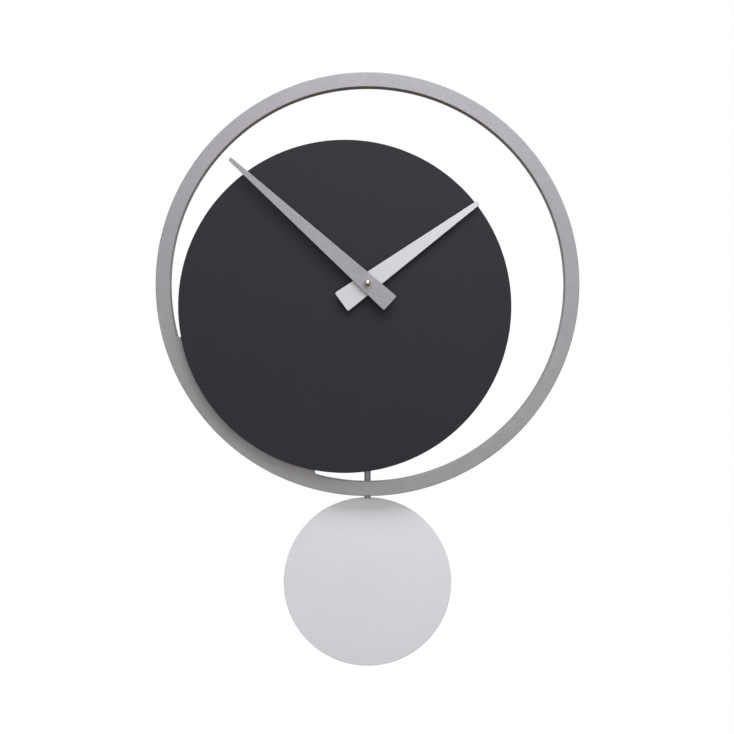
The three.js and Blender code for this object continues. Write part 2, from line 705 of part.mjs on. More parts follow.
const board = { right: -10, top: -2, back: depthOf(2), front: depthOf(3) };
piece('circuit_board', block(looseGap - inX, board.right, gearFloor + looseGap, board.top,
  board.back, board.front), circuitGreen);
const crystalRadius = 1;
const crystalLength = 6;
const crystal = rod(crystalRadius, -crystalLength / 2, crystalLength / 2, 12).rotateY(Math.PI / 2);
piece('quartz_crystal', crystal, steelFinish, (board.right - inX) / 2, (board.top + gearFloor) / 2,
  board.front + crystalRadius + fixedGap / 2);

// ---- Battery and its contacts ----------------------------------------------------------------

const batteryDepth = insideFront - batteryRadius - batteryFrontRoom;
const batteryStart = springRoom - inX;
const batteryFlat = batteryRadius - batteryEdge;
const battery = turned([
  [0, 0], [batteryFlat, 0], [batteryRadius, batteryEdge], [batteryRadius, batteryLength - batteryEdge],
  [batteryFlat, batteryLength], [nubRadius, batteryLength], [nubRadius, batteryLength + nubLength],
  [0, batteryLength + nubLength],
], 32).rotateY(Math.PI / 2);
piece('battery', battery, cellSleeve, batteryStart, batteryHeight, batteryDepth);

const batteryEnd = batteryStart + batteryLength + nubLength;
const contactBack = insideBack + looseGap;
const contactFront = insideFront - looseGap;
piece('contact_positive', block(batteryEnd, inX, -contactHalf, contactHalf, contactBack, contactFront),
  steelFinish, 0, batteryHeight);
const leafFoot = contactHalf + 1;
const leafEdge = contactThickness - inX;
const leafBack = batteryStart - contactThickness * 1.3;
const springLeaf = corners([-inX, -leafFoot], [leafEdge, -leafFoot], [batteryStart, 0],
  [leafEdge, leafFoot], [-inX, leafFoot], [-inX, contactHalf], [leafBack, 0], [-inX, -contactHalf]);
piece('contact_negative', plate(springLeaf, contactBack, contactFront), steelFinish, 0, batteryHeight);

// ---- Pendulum drive --------------------------------------------------------------------------

const leverThickness = 2.5;
const leverBack = insideBack + 1.8;
const leverFront = leverBack + leverThickness;
const leverHalf = 2.4;              // half width of the lever between its round ends
const leverEye = 3.2;
const magnetRim = 1.6;
const magnetDrop = 13;
const magnetRadius = 4;
const pendulumCoil = { bore: 2.5, radius: 8, room: 2.5 };
piece('lever_pin', rod(leverPinRadius, caseBack + looseGap, insideFront - looseGap, 12), steelFinish,
  0, leverPivotHeight);
piece('pendulum_coil', sleeve(pendulumCoil.bore, pendulumCoil.radius, leverFront + pendulumCoil.room,
  insideFront), copperFinish, 0, leverPivotHeight - magnetDrop);

// A collar on the peg's end keeps the hook from sliding off.
const hookBack = rodDepth - hookThickness / 2;
const collarFront = hookBack - 0.4;
const collarThickness = 1;
const collarRadius = pegRadius + 1.1;
const leverPieces = [
  plate(circle(leverEye, 0, 0, 16), leverBack, leverFront),
  plate(circle(magnetRadius + magnetRim, 0, -magnetDrop), leverBack, leverFront),
  plate(circle(leverEye, 0, -pegDrop, 16), leverBack, leverFront),
  block(-leverHalf, leverHalf, -pegDrop, 0, leverBack, leverFront),
  hole(pegRadius, collarFront - collarThickness / 2, leverFront, 0, -pegDrop, 16),
  hole(collarRadius, collarFront - collarThickness, collarFront, 0, -pegDrop, 16),
];
const leverHoles = [
  hole(leverPinRadius + runningGap, leverBack - overrun, leverFront + overrun, 0, 0),
  hole(magnetRadius + fixedGap, leverBack - overrun, leverFront + overrun, 0, -magnetDrop, 24),
];
piece('pendulum_lever', cut(join(...leverPieces), ...leverHoles), gearPlastic, 0, leverPivotHeight);
piece('lever_magnet', rod(magnetRadius, leverBack, leverFront), steelFinish,
  0, leverPivotHeight - magnetDrop);

// ---- Pendulum --------------------------------------------------------------------------------

// The hook curls over the peg and its shank is let into a slot in the rod's top.
const hookBore = pegRadius + looseGap;
const hookWidth = 3;
const hookRim = hookBore + hookWidth;
const hookOpening = 215;            // degrees where the hook's tip ends
const hookHeel = -65;               // and where its bore begins, above the shank
const heelHeight = 1.6;
const shankHalf = 2.4;
const shankLength = 14;
const shankMeet = THREE.MathUtils.radToDeg(Math.asin(shankHalf / hookRim)) - 90;
const shankBottom = rodTop - shankLength - pegHeight;
const hookShape = outline(
  new THREE.Vector2(shankHalf, shankBottom),
  ...arc(0, 0, hookRim, shankMeet, hookOpening, 24),
  ...arc(0, 0, hookBore, hookOpening, hookHeel, 24),
  new THREE.Vector2(-shankHalf, -hookBore - heelHeight),
  new THREE.Vector2(-shankHalf, shankBottom),
);
piece('pendulum_hook', plate(hookShape, hookBack, hookBack + hookThickness), brassFinish, 0, pegHeight);

const rodLength = rodTop - (bobTop - rodIntoBob);
const rodBar = new THREE.CylinderGeometry(rodRadius, rodRadius, rodLength, 24)
  .translate(0, rodTop - rodLength / 2, rodDepth);
const rodSlot = block(-rodRadius - overrun, rodRadius + overrun, rodTop - shankLength - fixedGap,
  rodTop + overrun, hookBack - fixedGap, hookBack + hookThickness + fixedGap);
piece('pendulum_rod', cut(rodBar, rodSlot), steelFinish);

const boreLength = rodIntoBob + fixedGap + overrun;
const bobBore = new THREE.CylinderGeometry(rodRadius + fixedGap, rodRadius + fixedGap, boreLength, 24)
  .translate(0, bobTop + overrun - boreLength / 2, rodDepth);
const bobDisc = plate(circle(bobRadius, 0, -bobDrop, 72), rodDepth - bobThickness / 2,
  rodDepth + bobThickness / 2);
piece('pendulum_bob', cut(bobDisc, bobBore), silverLacquer);

// ---- Hands -----------------------------------------------------------------------------------

// A flat tapered blade with a square tail and a round tip, pointing along +x from the hand axis.
function blade(hand, boreRadius) {
  const { length, tail, tipWidth, tailWidth, corner } = hand;
  const taper = THREE.MathUtils.radToDeg(Math.atan((tailWidth - tipWidth) / 2 / (length + tail)));
  const cornerX = corner - tail;
  const cornerY = tailWidth / 2 - corner;
  const shape = outline(
    ...arc(cornerX, cornerY, corner, 90 - taper, 180, 24),
    ...arc(cornerX, -cornerY, corner, 180, 270 + taper, 24),
    ...arc(length - tipWidth / 2, 0, tipWidth / 2, -90 + taper, 90 - taper, 24),
  );
  shape.holes.push(circle(boreRadius));
  return shape;
}

function hand(name, size, back, bore, colletRadius, material) {
  const flat = plate(blade(size, bore), back, back + handThickness);
  piece(`${name}_hand`, flat, material).rotation.z = rad(size.turn);
  piece(`${name}_hand_collet`, sleeve(bore, colletRadius, back - colletHeight, back), brassFinish);
}
hand('hour', hourHand, hourHandBack, hourTubeRadius + fixedGap, hourColletRadius, silverLacquer);
hand('minute', minuteHand, minuteHandBack, minuteArborRadius + fixedGap, minuteColletRadius, greyLacquer);

// The domed nut on the end of the minute arbor.
const capTop = capBack + capHeight;
const capBore = arborTipRadius + fixedGap;
const capFloor = capBack + arborTip + looseGap;
const domeHeight = 2.4;
const dome = [0, 30, 60].map((turn) =>
  [capRadius * Math.cos(rad(turn)), capTop - domeHeight * (1 - Math.sin(rad(turn)))]);
piece('cap_nut', turned([
  [capBore, capBack], [capRadius, capBack], ...dome, [0, capTop], [0, capFloor], [capBore, capFloor],
  [capBore, capBack],
]), brassFinish);

export default clock;
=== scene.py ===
"""Looks of a pendulum wall clock: lacquered boards, painted hands, turned fittings, quartz movement.

Metres, +Z up, the front faces -Y. Outlines are drawn in the plane of the wall as (x, z) points, and a
depth is a distance forward from the wall, so it is -y. Places and sizes come from the CAD frame.
"""
import json
from contextlib import contextmanager
from math import asin, atan, atan2, ceil, cos, degrees, pi, radians, sin, sqrt

import bmesh
import bpy
from mathutils import Matrix, Vector


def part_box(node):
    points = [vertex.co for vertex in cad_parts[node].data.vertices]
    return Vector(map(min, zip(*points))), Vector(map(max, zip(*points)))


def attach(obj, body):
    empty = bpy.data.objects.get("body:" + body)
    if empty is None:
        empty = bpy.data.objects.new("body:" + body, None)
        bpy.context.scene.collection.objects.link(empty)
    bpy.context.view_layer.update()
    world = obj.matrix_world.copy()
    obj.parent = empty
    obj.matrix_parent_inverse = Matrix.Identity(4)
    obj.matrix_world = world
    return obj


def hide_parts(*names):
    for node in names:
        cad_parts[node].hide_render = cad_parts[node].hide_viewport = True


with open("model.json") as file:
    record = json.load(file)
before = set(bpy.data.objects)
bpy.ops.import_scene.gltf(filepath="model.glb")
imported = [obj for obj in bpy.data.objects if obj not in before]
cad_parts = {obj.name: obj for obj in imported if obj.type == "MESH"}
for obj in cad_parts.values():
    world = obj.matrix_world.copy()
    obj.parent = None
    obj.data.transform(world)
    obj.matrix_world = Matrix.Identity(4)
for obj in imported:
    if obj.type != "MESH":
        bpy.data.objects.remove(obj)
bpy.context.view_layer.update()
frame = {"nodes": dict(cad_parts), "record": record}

# ---- Sizes that the CAD boxes don't hold ---------------------------------------------------------

MM = 0.001
BAND = 13 * MM                      # width of the ring where the crescent is open
DISC_OVERLAP = 8 * MM               # how far the disc hides the board that backs it
BRIDGE_TURN = 29.2                  # degrees each side of the disc's shift where the board is solid
CRESCENT_FILLET = 2.7 * MM
WINDOW_GAP = 2 * MM                 # between the movement and the board
WINDOW_CORNER = 3 * MM
BOARD_EDGE = 0.6 * MM               # rounding of the ring board's and the disc's edges
BUSH_HOLE = 4.3 * MM
HOUR_BORE = 2.58 * MM               # in the hour hand and its collet
MINUTE_BORE = 1.68 * MM             # in the minute hand and its collet
WASHER_BORE = 4.15 * MM
SCREW_SHANK = 1.75 * MM
SCREW_HEAD = 3.4 * MM
SCREW_HEAD_HEIGHT = 1.7 * MM
SCREW_POINT = 3 * MM
THREAD_PITCH = 1.5 * MM
THREAD_RIDGE = 0.32 * MM
PLAIN_NECK = 2 * MM                 # between a screw's head and its thread
SCREW_PLAY = 0.3 * MM               # round each screw in the ring board
HAND_CORNER = 1.6 * MM
HOUR_HAND = {"length": 123 * MM, "tail": 29 * MM, "tip": 4.5 * MM, "width": 20.1 * MM, "turn": 36}
MINUTE_HAND = {"length": 166 * MM, "tail": 27.4 * MM, "tip": 3.6 * MM, "width": 16.9 * MM, "turn": 138}
KNOB_RIDGES = 18
ROUND_STEPS = 4                     # strips in each rounded edge
FINE = 1.5                          # degrees between points on the large circles

# ---- Reading the frame ---------------------------------------------------------------------------


def middle(node):
    low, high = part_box(node)
    return (low + high) / 2


def radius_of(node):
    low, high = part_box(node)
    return (high.x - low.x) / 2


def depths(node):
    """How far a node's back and front stand forward from the wall."""
    low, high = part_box(node)
    return -high.y, -low.y


def nodes_named(start):
    return sorted(name for name in frame["nodes"] if name.startswith(start))


AXIS = middle("ring_board")         # of the hands, and the centre of the ring
RING_RADIUS = radius_of("ring_board")
HOLE_RADIUS = RING_RADIUS - BAND
DISC = middle("dial_disc")
DISC_RADIUS = radius_of("dial_disc")
PAD_RADIUS = DISC_RADIUS - DISC_OVERLAP
BOB = middle("pendulum_bob")
BOB_RADIUS = radius_of("pendulum_bob")

# ---- Outlines ------------------------------------------------------------------------------------


def polar(x, z, radius, turn):
    return x + radius * cos(radians(turn)), z + radius * sin(radians(turn))


def arc(x, z, radius, start, end, step=10):
    count = max(1, ceil(abs(end - start) / step))
    return [polar(x, z, radius, start + (end - start) * i / count) for i in range(count + 1)]


def circle(x, z, radius, step=10):
    return arc(x, z, radius, 0, 360, step)[:-1]


def rounded_box(left, right, bottom, top, corner, step=15):
    return [
        *arc(right - corner, top - corner, corner, 0, 90, step),
        *arc(left + corner, top - corner, corner, 90, 180, step),
        *arc(left + corner, bottom + corner, corner, 180, 270, step),
        *arc(right - corner, bottom + corner, corner, 270, 360, step),
    ]


def hole(points):
    """Holes run the other way round, so that their edges are rounded away from the opening."""
    return points[::-1]


def crescent():
    """The opening between ring and disc, closed by the solid bridge on the side of the disc's shift."""
    shift = Vector((DISC.x - AXIS.x, DISC.z - AXIS.z))
    shift_turn = degrees(atan2(shift.y, shift.x)) % 360
    start, end = shift_turn + BRIDGE_TURN - 360, shift_turn - BRIDGE_TURN
    inner = HOLE_RADIUS - CRESCENT_FILLET
    lean = degrees(asin(CRESCENT_FILLET / inner))

    def corner(turn, from_turn, to_turn):
        x, z = polar(AXIS.x, AXIS.z, inner, turn)
        return arc(x, z, CRESCENT_FILLET, from_turn, to_turn, 15)

    def around_pad(turn):
        """Where a line from the ring's centre leaves the pad, as a turn about the disc's centre."""
        way = Vector((cos(radians(turn)), sin(radians(turn))))
        along = way.dot(shift)
        reach = along + sqrt(along ** 2 - shift.length_squared + PAD_RADIUS ** 2)
        point = way * reach - shift
        return degrees(atan2(point.y, point.x))

    return [
        *corner(start + lean, start - 90, start + lean),
        *arc(AXIS.x, AXIS.z, HOLE_RADIUS, start + lean, end - lean, FINE),
        *corner(end - lean, end - lean, end + 90),
        *arc(DISC.x, DISC.z, PAD_RADIUS, around_pad(end) % 360, around_pad(start), FINE),
    ]


def hand_outline(size):
    """A blade with a square tail and a round tip, turned about the hand axis."""
    taper = degrees(atan((size["width"] - size["tip"]) / 2 / (size["length"] + size["tail"])))
    heel_x = HAND_CORNER - size["tail"]
    heel_z = size["width"] / 2 - HAND_CORNER
    tip_x = size["length"] - size["tip"] / 2
    blade = [
        *arc(heel_x, heel_z, HAND_CORNER, 90 - taper, 180),
        *arc(heel_x, -heel_z, HAND_CORNER, 180, 270 + taper),
        *arc(tip_x, 0, size["tip"] / 2, taper - 90, 90 - taper),
    ]
    turn = radians(size["turn"])
    return [(AXIS.x + x * cos(turn) - z * sin(turn), AXIS.z + x * sin(turn) + z * cos(turn))
            for x, z in blade]


# ---- Node trees ----------------------------------------------------------------------------------


def add(tree, kind, inputs=None, **settings):
    """A node with its settings, and its inputs linked to a socket or node or set to a value."""
    node = tree.nodes.new(kind)
    for name, value in settings.items():
        setattr(node, name, value)
    for key, value in (inputs or {}).items():
        if isinstance(value, bpy.types.Node):
            value = value.outputs[0]
        if isinstance(value, bpy.types.NodeSocket):
            tree.links.new(value, node.inputs[key])
        else:
            node.inputs[key].default_value = value
    return node


def geo(tree, kind, inputs, **settings):
    return add(tree, f"GeometryNode{kind}", inputs, **settings)


def calc(tree, operation, first, second=None):
    values = {0: first} if second is None else {0: first, 1: second}
    return add(tree, "ShaderNodeMath", values, operation=operation).outputs[0]


def joined(tree, *parts):
    """One geometry from several nodes or sockets."""
    join = add(tree, "GeometryNodeJoinGeometry")
    for part in parts:
        tree.links.new(part.outputs[0] if isinstance(part, bpy.types.Node) else part, join.inputs[0])
    return join


def new_tree(name, inputs):
    """A Geometry Nodes tree with one geometry in, one out, and named inputs for its sizes."""
    tree = bpy.data.node_groups.new(name, "GeometryNodeTree")
    tree.interface.new_socket(name="Base", in_out="INPUT", socket_type="NodeSocketGeometry")
    for label, kind in inputs.items():
        tree.interface.new_socket(name=label, in_out="INPUT", socket_type=f"NodeSocket{kind}")
    tree.interface.new_socket(name="Result", in_out="OUTPUT", socket_type="NodeSocketGeometry")
    return tree, add(tree, "NodeGroupInput").outputs


def end_tree(tree, geometry, finish):
    real = geo(tree, "RealizeInstances", {0: geometry})
    painted = geo(tree, "SetMaterial", {"Geometry": real, "Material": finish})
    add(tree, "NodeGroupOutput", {0: painted})
    return tree


def routed_board_tree():
    """Sweeps a rounded edge along every outline and closes the board with a flat front and back.

    The swept line's first points round the front edge and the late ones round the back edge. Its
    attribute "edge" is highest in the middle of each rounding, where a coat wears through.
    """
    tree, given = new_tree("routed_board", {
        "Back": "Float", "Front": "Float", "Edge": "Float", "Finish": "Material"})
    outline = geo(tree, "MeshToCurve", {0: given["Base"]})
    outline = geo(tree, "SetCurveNormal", {"Curve": outline}, mode="Z_UP")

    index = add(tree, "GeometryNodeInputIndex").outputs[0]
    late = calc(tree, "GREATER_THAN", index, ROUND_STEPS + 0.5)
    step = calc(tree, "SUBTRACT", index, calc(tree, "MULTIPLY", late, ROUND_STEPS + 1))
    turn = calc(tree, "MULTIPLY", step, pi / 2 / ROUND_STEPS)
    rise = calc(tree, "SINE", turn)
    run = calc(tree, "COSINE", turn)

    def rounded(amount):
        return calc(tree, "MULTIPLY", given["Edge"], calc(tree, "SUBTRACT", 1, amount))

    def early_or_late(first, second):
        change = calc(tree, "SUBTRACT", second, first)
        return calc(tree, "ADD", first, calc(tree, "MULTIPLY", late, change))

    inset = early_or_late(rounded(rise), rounded(run))
    depth = early_or_late(calc(tree, "SUBTRACT", given["Front"], rounded(run)),
                          calc(tree, "ADD", given["Back"], rounded(rise)))
    across = add(tree, "ShaderNodeCombineXYZ", {
        "X": calc(tree, "MULTIPLY", inset, -1), "Y": calc(tree, "MULTIPLY", depth, -1)})
    line = add(tree, "GeometryNodeCurvePrimitiveLine")
    line = geo(tree, "ResampleCurve", {"Curve": line, "Count": 2 * (ROUND_STEPS + 1)})
    line = geo(tree, "SetPosition", {"Geometry": line, "Position": across})
    worn = calc(tree, "SINE", calc(tree, "MULTIPLY", turn, 2))
    line = geo(tree, "StoreNamedAttribute", {
        "Geometry": line, "Name": "edge", "Value": worn}, data_type="FLOAT", domain="POINT")
    wall = geo(tree, "CurveToMesh", {"Curve": outline, "Profile Curve": line})
    wall = geo(tree, "SetShadeSmooth", {"Geometry": wall, "Shade Smooth": True})

    out = add(tree, "GeometryNodeInputNormal")
    inward = add(tree, "ShaderNodeVectorMath", {
        0: out, "Scale": calc(tree, "MULTIPLY", given["Edge"], -1)}, operation="SCALE")
    rim = geo(tree, "SetPosition", {"Geometry": outline, "Offset": inward})
    face = geo(tree, "FillCurve", {"Curve": rim})
    face = geo(tree, "SetShadeSmooth", {"Geometry": face, "Shade Smooth": False})

    def moved_to(depth_socket):
        place = add(tree, "ShaderNodeCombineXYZ", {"Z": depth_socket})
        return geo(tree, "Transform", {"Geometry": face, "Translation": place})

    front = moved_to(given["Front"])
    back = geo(tree, "FlipFaces", {"Mesh": moved_to(given["Back"])})
    whole = geo(tree, "MergeByDistance", {
        "Geometry": joined(tree, wall, front, back), "Distance": 2e-6})
    stood = geo(tree, "Transform", {"Geometry": whole, "Rotation": (pi / 2, 0, 0)})
    return end_tree(tree, stood, given["Finish"])


def screws_tree():
    """Puts a threaded screw on every point, each turned in its hole by a different amount."""
    tree, given = new_tree("screws", {
        "Screw": "Object", "Facing": "Rotation", "Thread radius": "Float", "Thread turns": "Float",
        "Thread length": "Float", "Thread start": "Float", "Seed": "Int", "Finish": "Material"})
    body = geo(tree, "ObjectInfo", {"Object": given["Screw"]}).outputs["Geometry"]
    helix = geo(tree, "CurveSpiral", {
        "Resolution": 14, "Rotations": given["Thread turns"], "Start Radius": given["Thread radius"],
        "End Radius": given["Thread radius"],
        "Height": calc(tree, "MULTIPLY", given["Thread length"], -1)})
    ridge = geo(tree, "CurvePrimitiveCircle", {"Resolution": 3, "Radius": THREAD_RIDGE})
    thread = geo(tree, "CurveToMesh", {
        "Curve": helix, "Profile Curve": ridge, "Fill Caps": True})
    start = add(tree, "ShaderNodeCombineXYZ", {"Z": calc(tree, "MULTIPLY", given["Thread start"], -1)})
    thread = geo(tree, "Transform", {"Geometry": thread, "Translation": start})
    copies = geo(tree, "InstanceOnPoints", {
        "Points": given["Base"], "Instance": joined(tree, body, thread), "Rotation": given["Facing"]})
    spin = add(tree, "FunctionNodeRandomValue", {"Min": 0.0, "Max": pi, "Seed": given["Seed"]},
               data_type="FLOAT")
    turned = add(tree, "ShaderNodeCombineXYZ", {"Z": spin.outputs["Value"]})
    copies = geo(tree, "RotateInstances", {"Instances": copies, "Rotation": turned})
    return end_tree(tree, copies, given["Finish"])


def winding_tree():
    """Wraps turns of wire round a former, along the local Z axis."""
    tree, given = new_tree("winding", {
        "Radius": "Float", "Length": "Float", "Wire": "Float", "Finish": "Material"})
    pitch = calc(tree, "MULTIPLY", given["Wire"], 2.05)     # the wire's diameter and a hair of varnish
    turns = calc(tree, "DIVIDE", given["Length"], pitch)
    helix = geo(tree, "CurveSpiral", {
        "Resolution": 40, "Rotations": turns, "Start Radius": given["Radius"],
        "End Radius": given["Radius"], "Height": given["Length"]})
    section = geo(tree, "CurvePrimitiveCircle", {"Resolution": 6, "Radius": given["Wire"]})
    wire = geo(tree, "CurveToMesh", {
        "Curve": helix, "Profile Curve": section, "Fill Caps": True})
    wire = geo(tree, "SetShadeSmooth", {"Geometry": wire, "Shade Smooth": True})
    return end_tree(tree, joined(tree, given["Base"], wire), given["Finish"])


def ribs_tree():
    """Repeats one moulded rib along a line of even steps."""
    tree, given = new_tree("ribs", {
        "Rib": "Object", "Count": "Int", "First": "Vector", "Step": "Vector", "Finish": "Material"})
    line = geo(tree, "MeshLine", {
        "Count": given["Count"], "Start Location": given["First"], "Offset": given["Step"]})
    rib = geo(tree, "ObjectInfo", {"Object": given["Rib"]}).outputs["Geometry"]
    copies = geo(tree, "InstanceOnPoints", {"Points": line, "Instance": rib})
    return end_tree(tree, joined(tree, given["Base"], copies), given["Finish"])


# ---- Making pieces -------------------------------------------------------------------------------


def new_piece(name, mesh):
    piece = bpy.data.objects.new(name, mesh)
    bpy.context.scene.collection.objects.link(piece)
    return piece


def plain(piece):
    """Turns what the modifiers make into the piece's own mesh, and removes them."""
    graph = bpy.context.evaluated_depsgraph_get()
    mesh = bpy.data.meshes.new_from_object(
        piece.evaluated_get(graph), preserve_all_data_layers=True, depsgraph=graph)
    piece.modifiers.clear()
    piece.data = mesh
    return piece


def shaped_by(piece, tree, **values):
    modifier = piece.modifiers.new(tree.name, "NODES")
    modifier.node_group = tree
    for item in tree.interface.items_tree:
        label = item.name.replace(" ", "_")
        if item.in_out == "INPUT" and label in values:
            modifier[item.identifier] = values[label]
    return plain(piece)


def loops_mesh(outlines):
    points, edges = [], []
    for outline in outlines:
        first, count = len(points), len(outline)
        points += [(x, z, 0) for x, z in outline]
        edges += [(first + i, first + (i + 1) % count) for i in range(count)]
    mesh = bpy.data.meshes.new("outline")
    mesh.from_pydata(points, edges, [])
    return mesh


def board(name, outlines, back, front, edge, finish):
    """A flat piece with rounded edges. The first outline is the outside and the rest are holes."""
    piece = new_piece(name, loops_mesh([outlines[0], *map(hole, outlines[1:])]))
    return shaped_by(piece, BOARD_TREE, Back=back, Front=front, Edge=edge, Finish=finish)


@contextmanager
def edited(mesh):
    shell = bmesh.new()
    shell.from_mesh(mesh)
    yield shell
    shell.to_mesh(mesh)
    shell.free()


def make_board(name, outlines, node, edge, slot, body="clock_body"):
    """A board as thick as its CAD node and as far from the wall."""
    settle(board(name, outlines, *depths(node), edge, FINISHES[slot]), body, slot, node)


def closed_mesh(name, points, faces):
    mesh = bpy.data.meshes.new(name)
    mesh.from_pydata(points, [], faces)
    with edited(mesh) as shell:
        bmesh.ops.remove_doubles(shell, verts=shell.verts, dist=1e-7)
        bmesh.ops.recalc_face_normals(shell, faces=shell.faces)
    return mesh


def turned(name, profile, sides=64, closed=False):
    """A turned shape about the local Z axis, through (radius, height) pairs."""
    points = [(r * cos(2 * pi * i / sides), r * sin(2 * pi * i / sides), h)
              for r, h in profile for i in range(sides)]
    strips = len(profile) if closed else len(profile) - 1
    faces = []
    for strip in range(strips):
        low, high = strip * sides, (strip + 1) % len(profile) * sides
        for i in range(sides):
            j = (i + 1) % sides
            faces.append((low + i, low + j, high + j, high + i))
    mesh = closed_mesh(name, points, faces)
    with edited(mesh) as shell:
        bmesh.ops.dissolve_degenerate(shell, edges=shell.edges, dist=1e-7)
        bmesh.ops.delete(shell, geom=[e for e in shell.edges if not e.link_faces], context="EDGES")
    return mesh


FORWARD = Matrix.Rotation(pi / 2, 4, "X")       # local +Z to the clock's front
BACKWARD = Matrix.Rotation(-pi / 2, 4, "X")     # local +Z to the wall
UPRIGHT = Matrix.Identity(4)
RIGHTWARD = Matrix.Rotation(pi / 2, 4, "Y")


def set_in_place(mesh, way, x=0.0, y=0.0, z=0.0):
    mesh.transform(Matrix.Translation((x, y, z)) @ way)
    return mesh


def merged(name, meshes):
    whole = bpy.data.meshes.new(name)
    with edited(whole) as shell:
        for mesh in meshes:
            shell.from_mesh(mesh)
    return whole


def crisp(piece, angle):
    """Smooth shading that leaves flat faces flat and edges sharper than angle sharp."""
    piece.data.shade_smooth()
    piece.data.set_sharp_from_angle(angle=radians(angle))
    normals = piece.modifiers.new("flat_faces", "WEIGHTED_NORMAL")
    normals.keep_sharp = True
    normals.weight = 100
    return plain(piece)


def make_crisp(name, mesh, angle, body, slot, *nodes):
    mesh.materials.append(FINISHES[slot])
    settle(crisp(new_piece(name, mesh), angle), body, slot, *nodes)


def softened(piece, width, finish):
    """Rounds every edge sharper than 30 degrees, and smooths the rest."""
    piece.data.materials.clear()
    piece.data.materials.append(finish)
    bevel = piece.modifiers.new("soft_edges", "BEVEL")
    bevel.width = width
    bevel.segments = 2
    bevel.limit_method = "ANGLE"
    bevel.angle_limit = radians(30)
    bevel.use_clamp_overlap = True
    bevel.loop_slide = False
    plain(piece)
    return crisp(piece, 50)


def recut(name, node):
    """A copy of a CAD node with its flat areas cut into as few triangles and quads as they need.

    A face of more than four corners is cut up again, because one that runs round a hole would cross
    itself when its edges are softened.
    """
    mesh = frame["nodes"][node].data.copy()
    with edited(mesh) as shell:
        bmesh.ops.remove_doubles(shell, verts=shell.verts, dist=1e-6)
        bmesh.ops.dissolve_limit(shell, angle_limit=radians(0.5), verts=shell.verts, edges=shell.edges)
        bmesh.ops.triangulate(shell, faces=[face for face in shell.faces if len(face.verts) > 4])
    mesh.materials.clear()
    return new_piece(name, mesh)


def cut_by(piece, cutter_mesh):
    cutter = new_piece("cutter", cutter_mesh)
    cut = piece.modifiers.new("cut", "BOOLEAN")
    cut.object = cutter
    cut.operation = "DIFFERENCE"
    cut.solver = "EXACT"
    plain(piece)
    bpy.data.objects.remove(cutter)
    return piece


def box_mesh(low, high, taper=1.0):
    """A block between two corners, whose underside is narrowed by the taper."""
    centre = (low + high) / 2
    points = []
    for z, share in ((low.z, taper), (high.z, 1.0)):
        for x, y in ((low.x, low.y), (high.x, low.y), (high.x, high.y), (low.x, high.y)):
            points.append((centre.x + (x - centre.x) * share, centre.y + (y - centre.y) * share, z))
    faces = [(3, 2, 1, 0), (4, 5, 6, 7), (0, 1, 5, 4), (1, 2, 6, 5), (2, 3, 7, 6), (3, 0, 4, 7)]
    return closed_mesh("block", points, faces)


def settle(piece, body, slot, *nodes):
    """Hangs a finished piece on its body and lets it stand for its CAD nodes, which it hides. The slot is
    not used.
    """
    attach(piece, body)
    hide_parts(*nodes)


# ---- Finishes ------------------------------------------------------------------------------------


def new_finish(name, constants):
    finish = bpy.data.materials.new(name)
    finish.use_nodes = True
    tree = finish.node_tree
    shader = tree.nodes["Principled BSDF"]
    for label, value in constants.items():
        shader.inputs[label].default_value = value
    place = add(tree, "ShaderNodeTexCoord").outputs["Object"]
    return finish, tree, shader, place


def mix(tree, share, first, second):
    """Blends two colours, where share is from 0 to 1."""
    return add(tree, "ShaderNodeMix", {0: share, 6: first, 7: second}, data_type="RGBA").outputs[2]


def spread(tree, value, low, high, to_low=0.0, to_high=1.0):
    return add(tree, "ShaderNodeMapRange", {
        "Value": value, "From Min": low, "From Max": high,
        "To Min": to_low, "To Max": to_high}).outputs[0]


def noise(tree, place, scale, detail=2.0, stretch=(1, 1, 1)):
    if stretch != (1, 1, 1):
        place = add(tree, "ShaderNodeMapping", {"Vector": place, "Scale": stretch})
    return add(tree, "ShaderNodeTexNoise", {
        "Vector": place, "Scale": scale, "Detail": detail}).outputs["Fac"]


def cells(tree, place, scale):
    """A random grey for each cell of a fine random pattern."""
    found = add(tree, "ShaderNodeTexVoronoi", {"Vector": place, "Scale": scale})
    return add(tree, "ShaderNodeSeparateColor", {0: found.outputs["Color"]}).outputs[0]


def shaded(colour, factor):
    return (colour[0] * factor, colour[1] * factor, colour[2] * factor, 1)


def drive(tree, shader, colour, rough):
    tree.links.new(colour, shader.inputs["Base Color"])
    tree.links.new(rough, shader.inputs["Roughness"])


def relief(tree, shader, height, distance, strength=1.0, below=None):
    inputs = {"Height": height, "Distance": distance, "Strength": strength}
    if below is not None:
        inputs["Normal"] = below
    bump = add(tree, "ShaderNodeBump", inputs)
    tree.links.new(bump.outputs[0], shader.inputs["Normal"])
    return bump.outputs[0]


def on_the_side(tree):
    """1 on a board's sawn edge, 0 on its front and back."""
    normal = add(tree, "ShaderNodeTexCoord").outputs["Normal"]
    forward = add(tree, "ShaderNodeSeparateXYZ", {0: normal}).outputs["Y"]
    return calc(tree, "LESS_THAN", calc(tree, "ABSOLUTE", forward), 0.5)


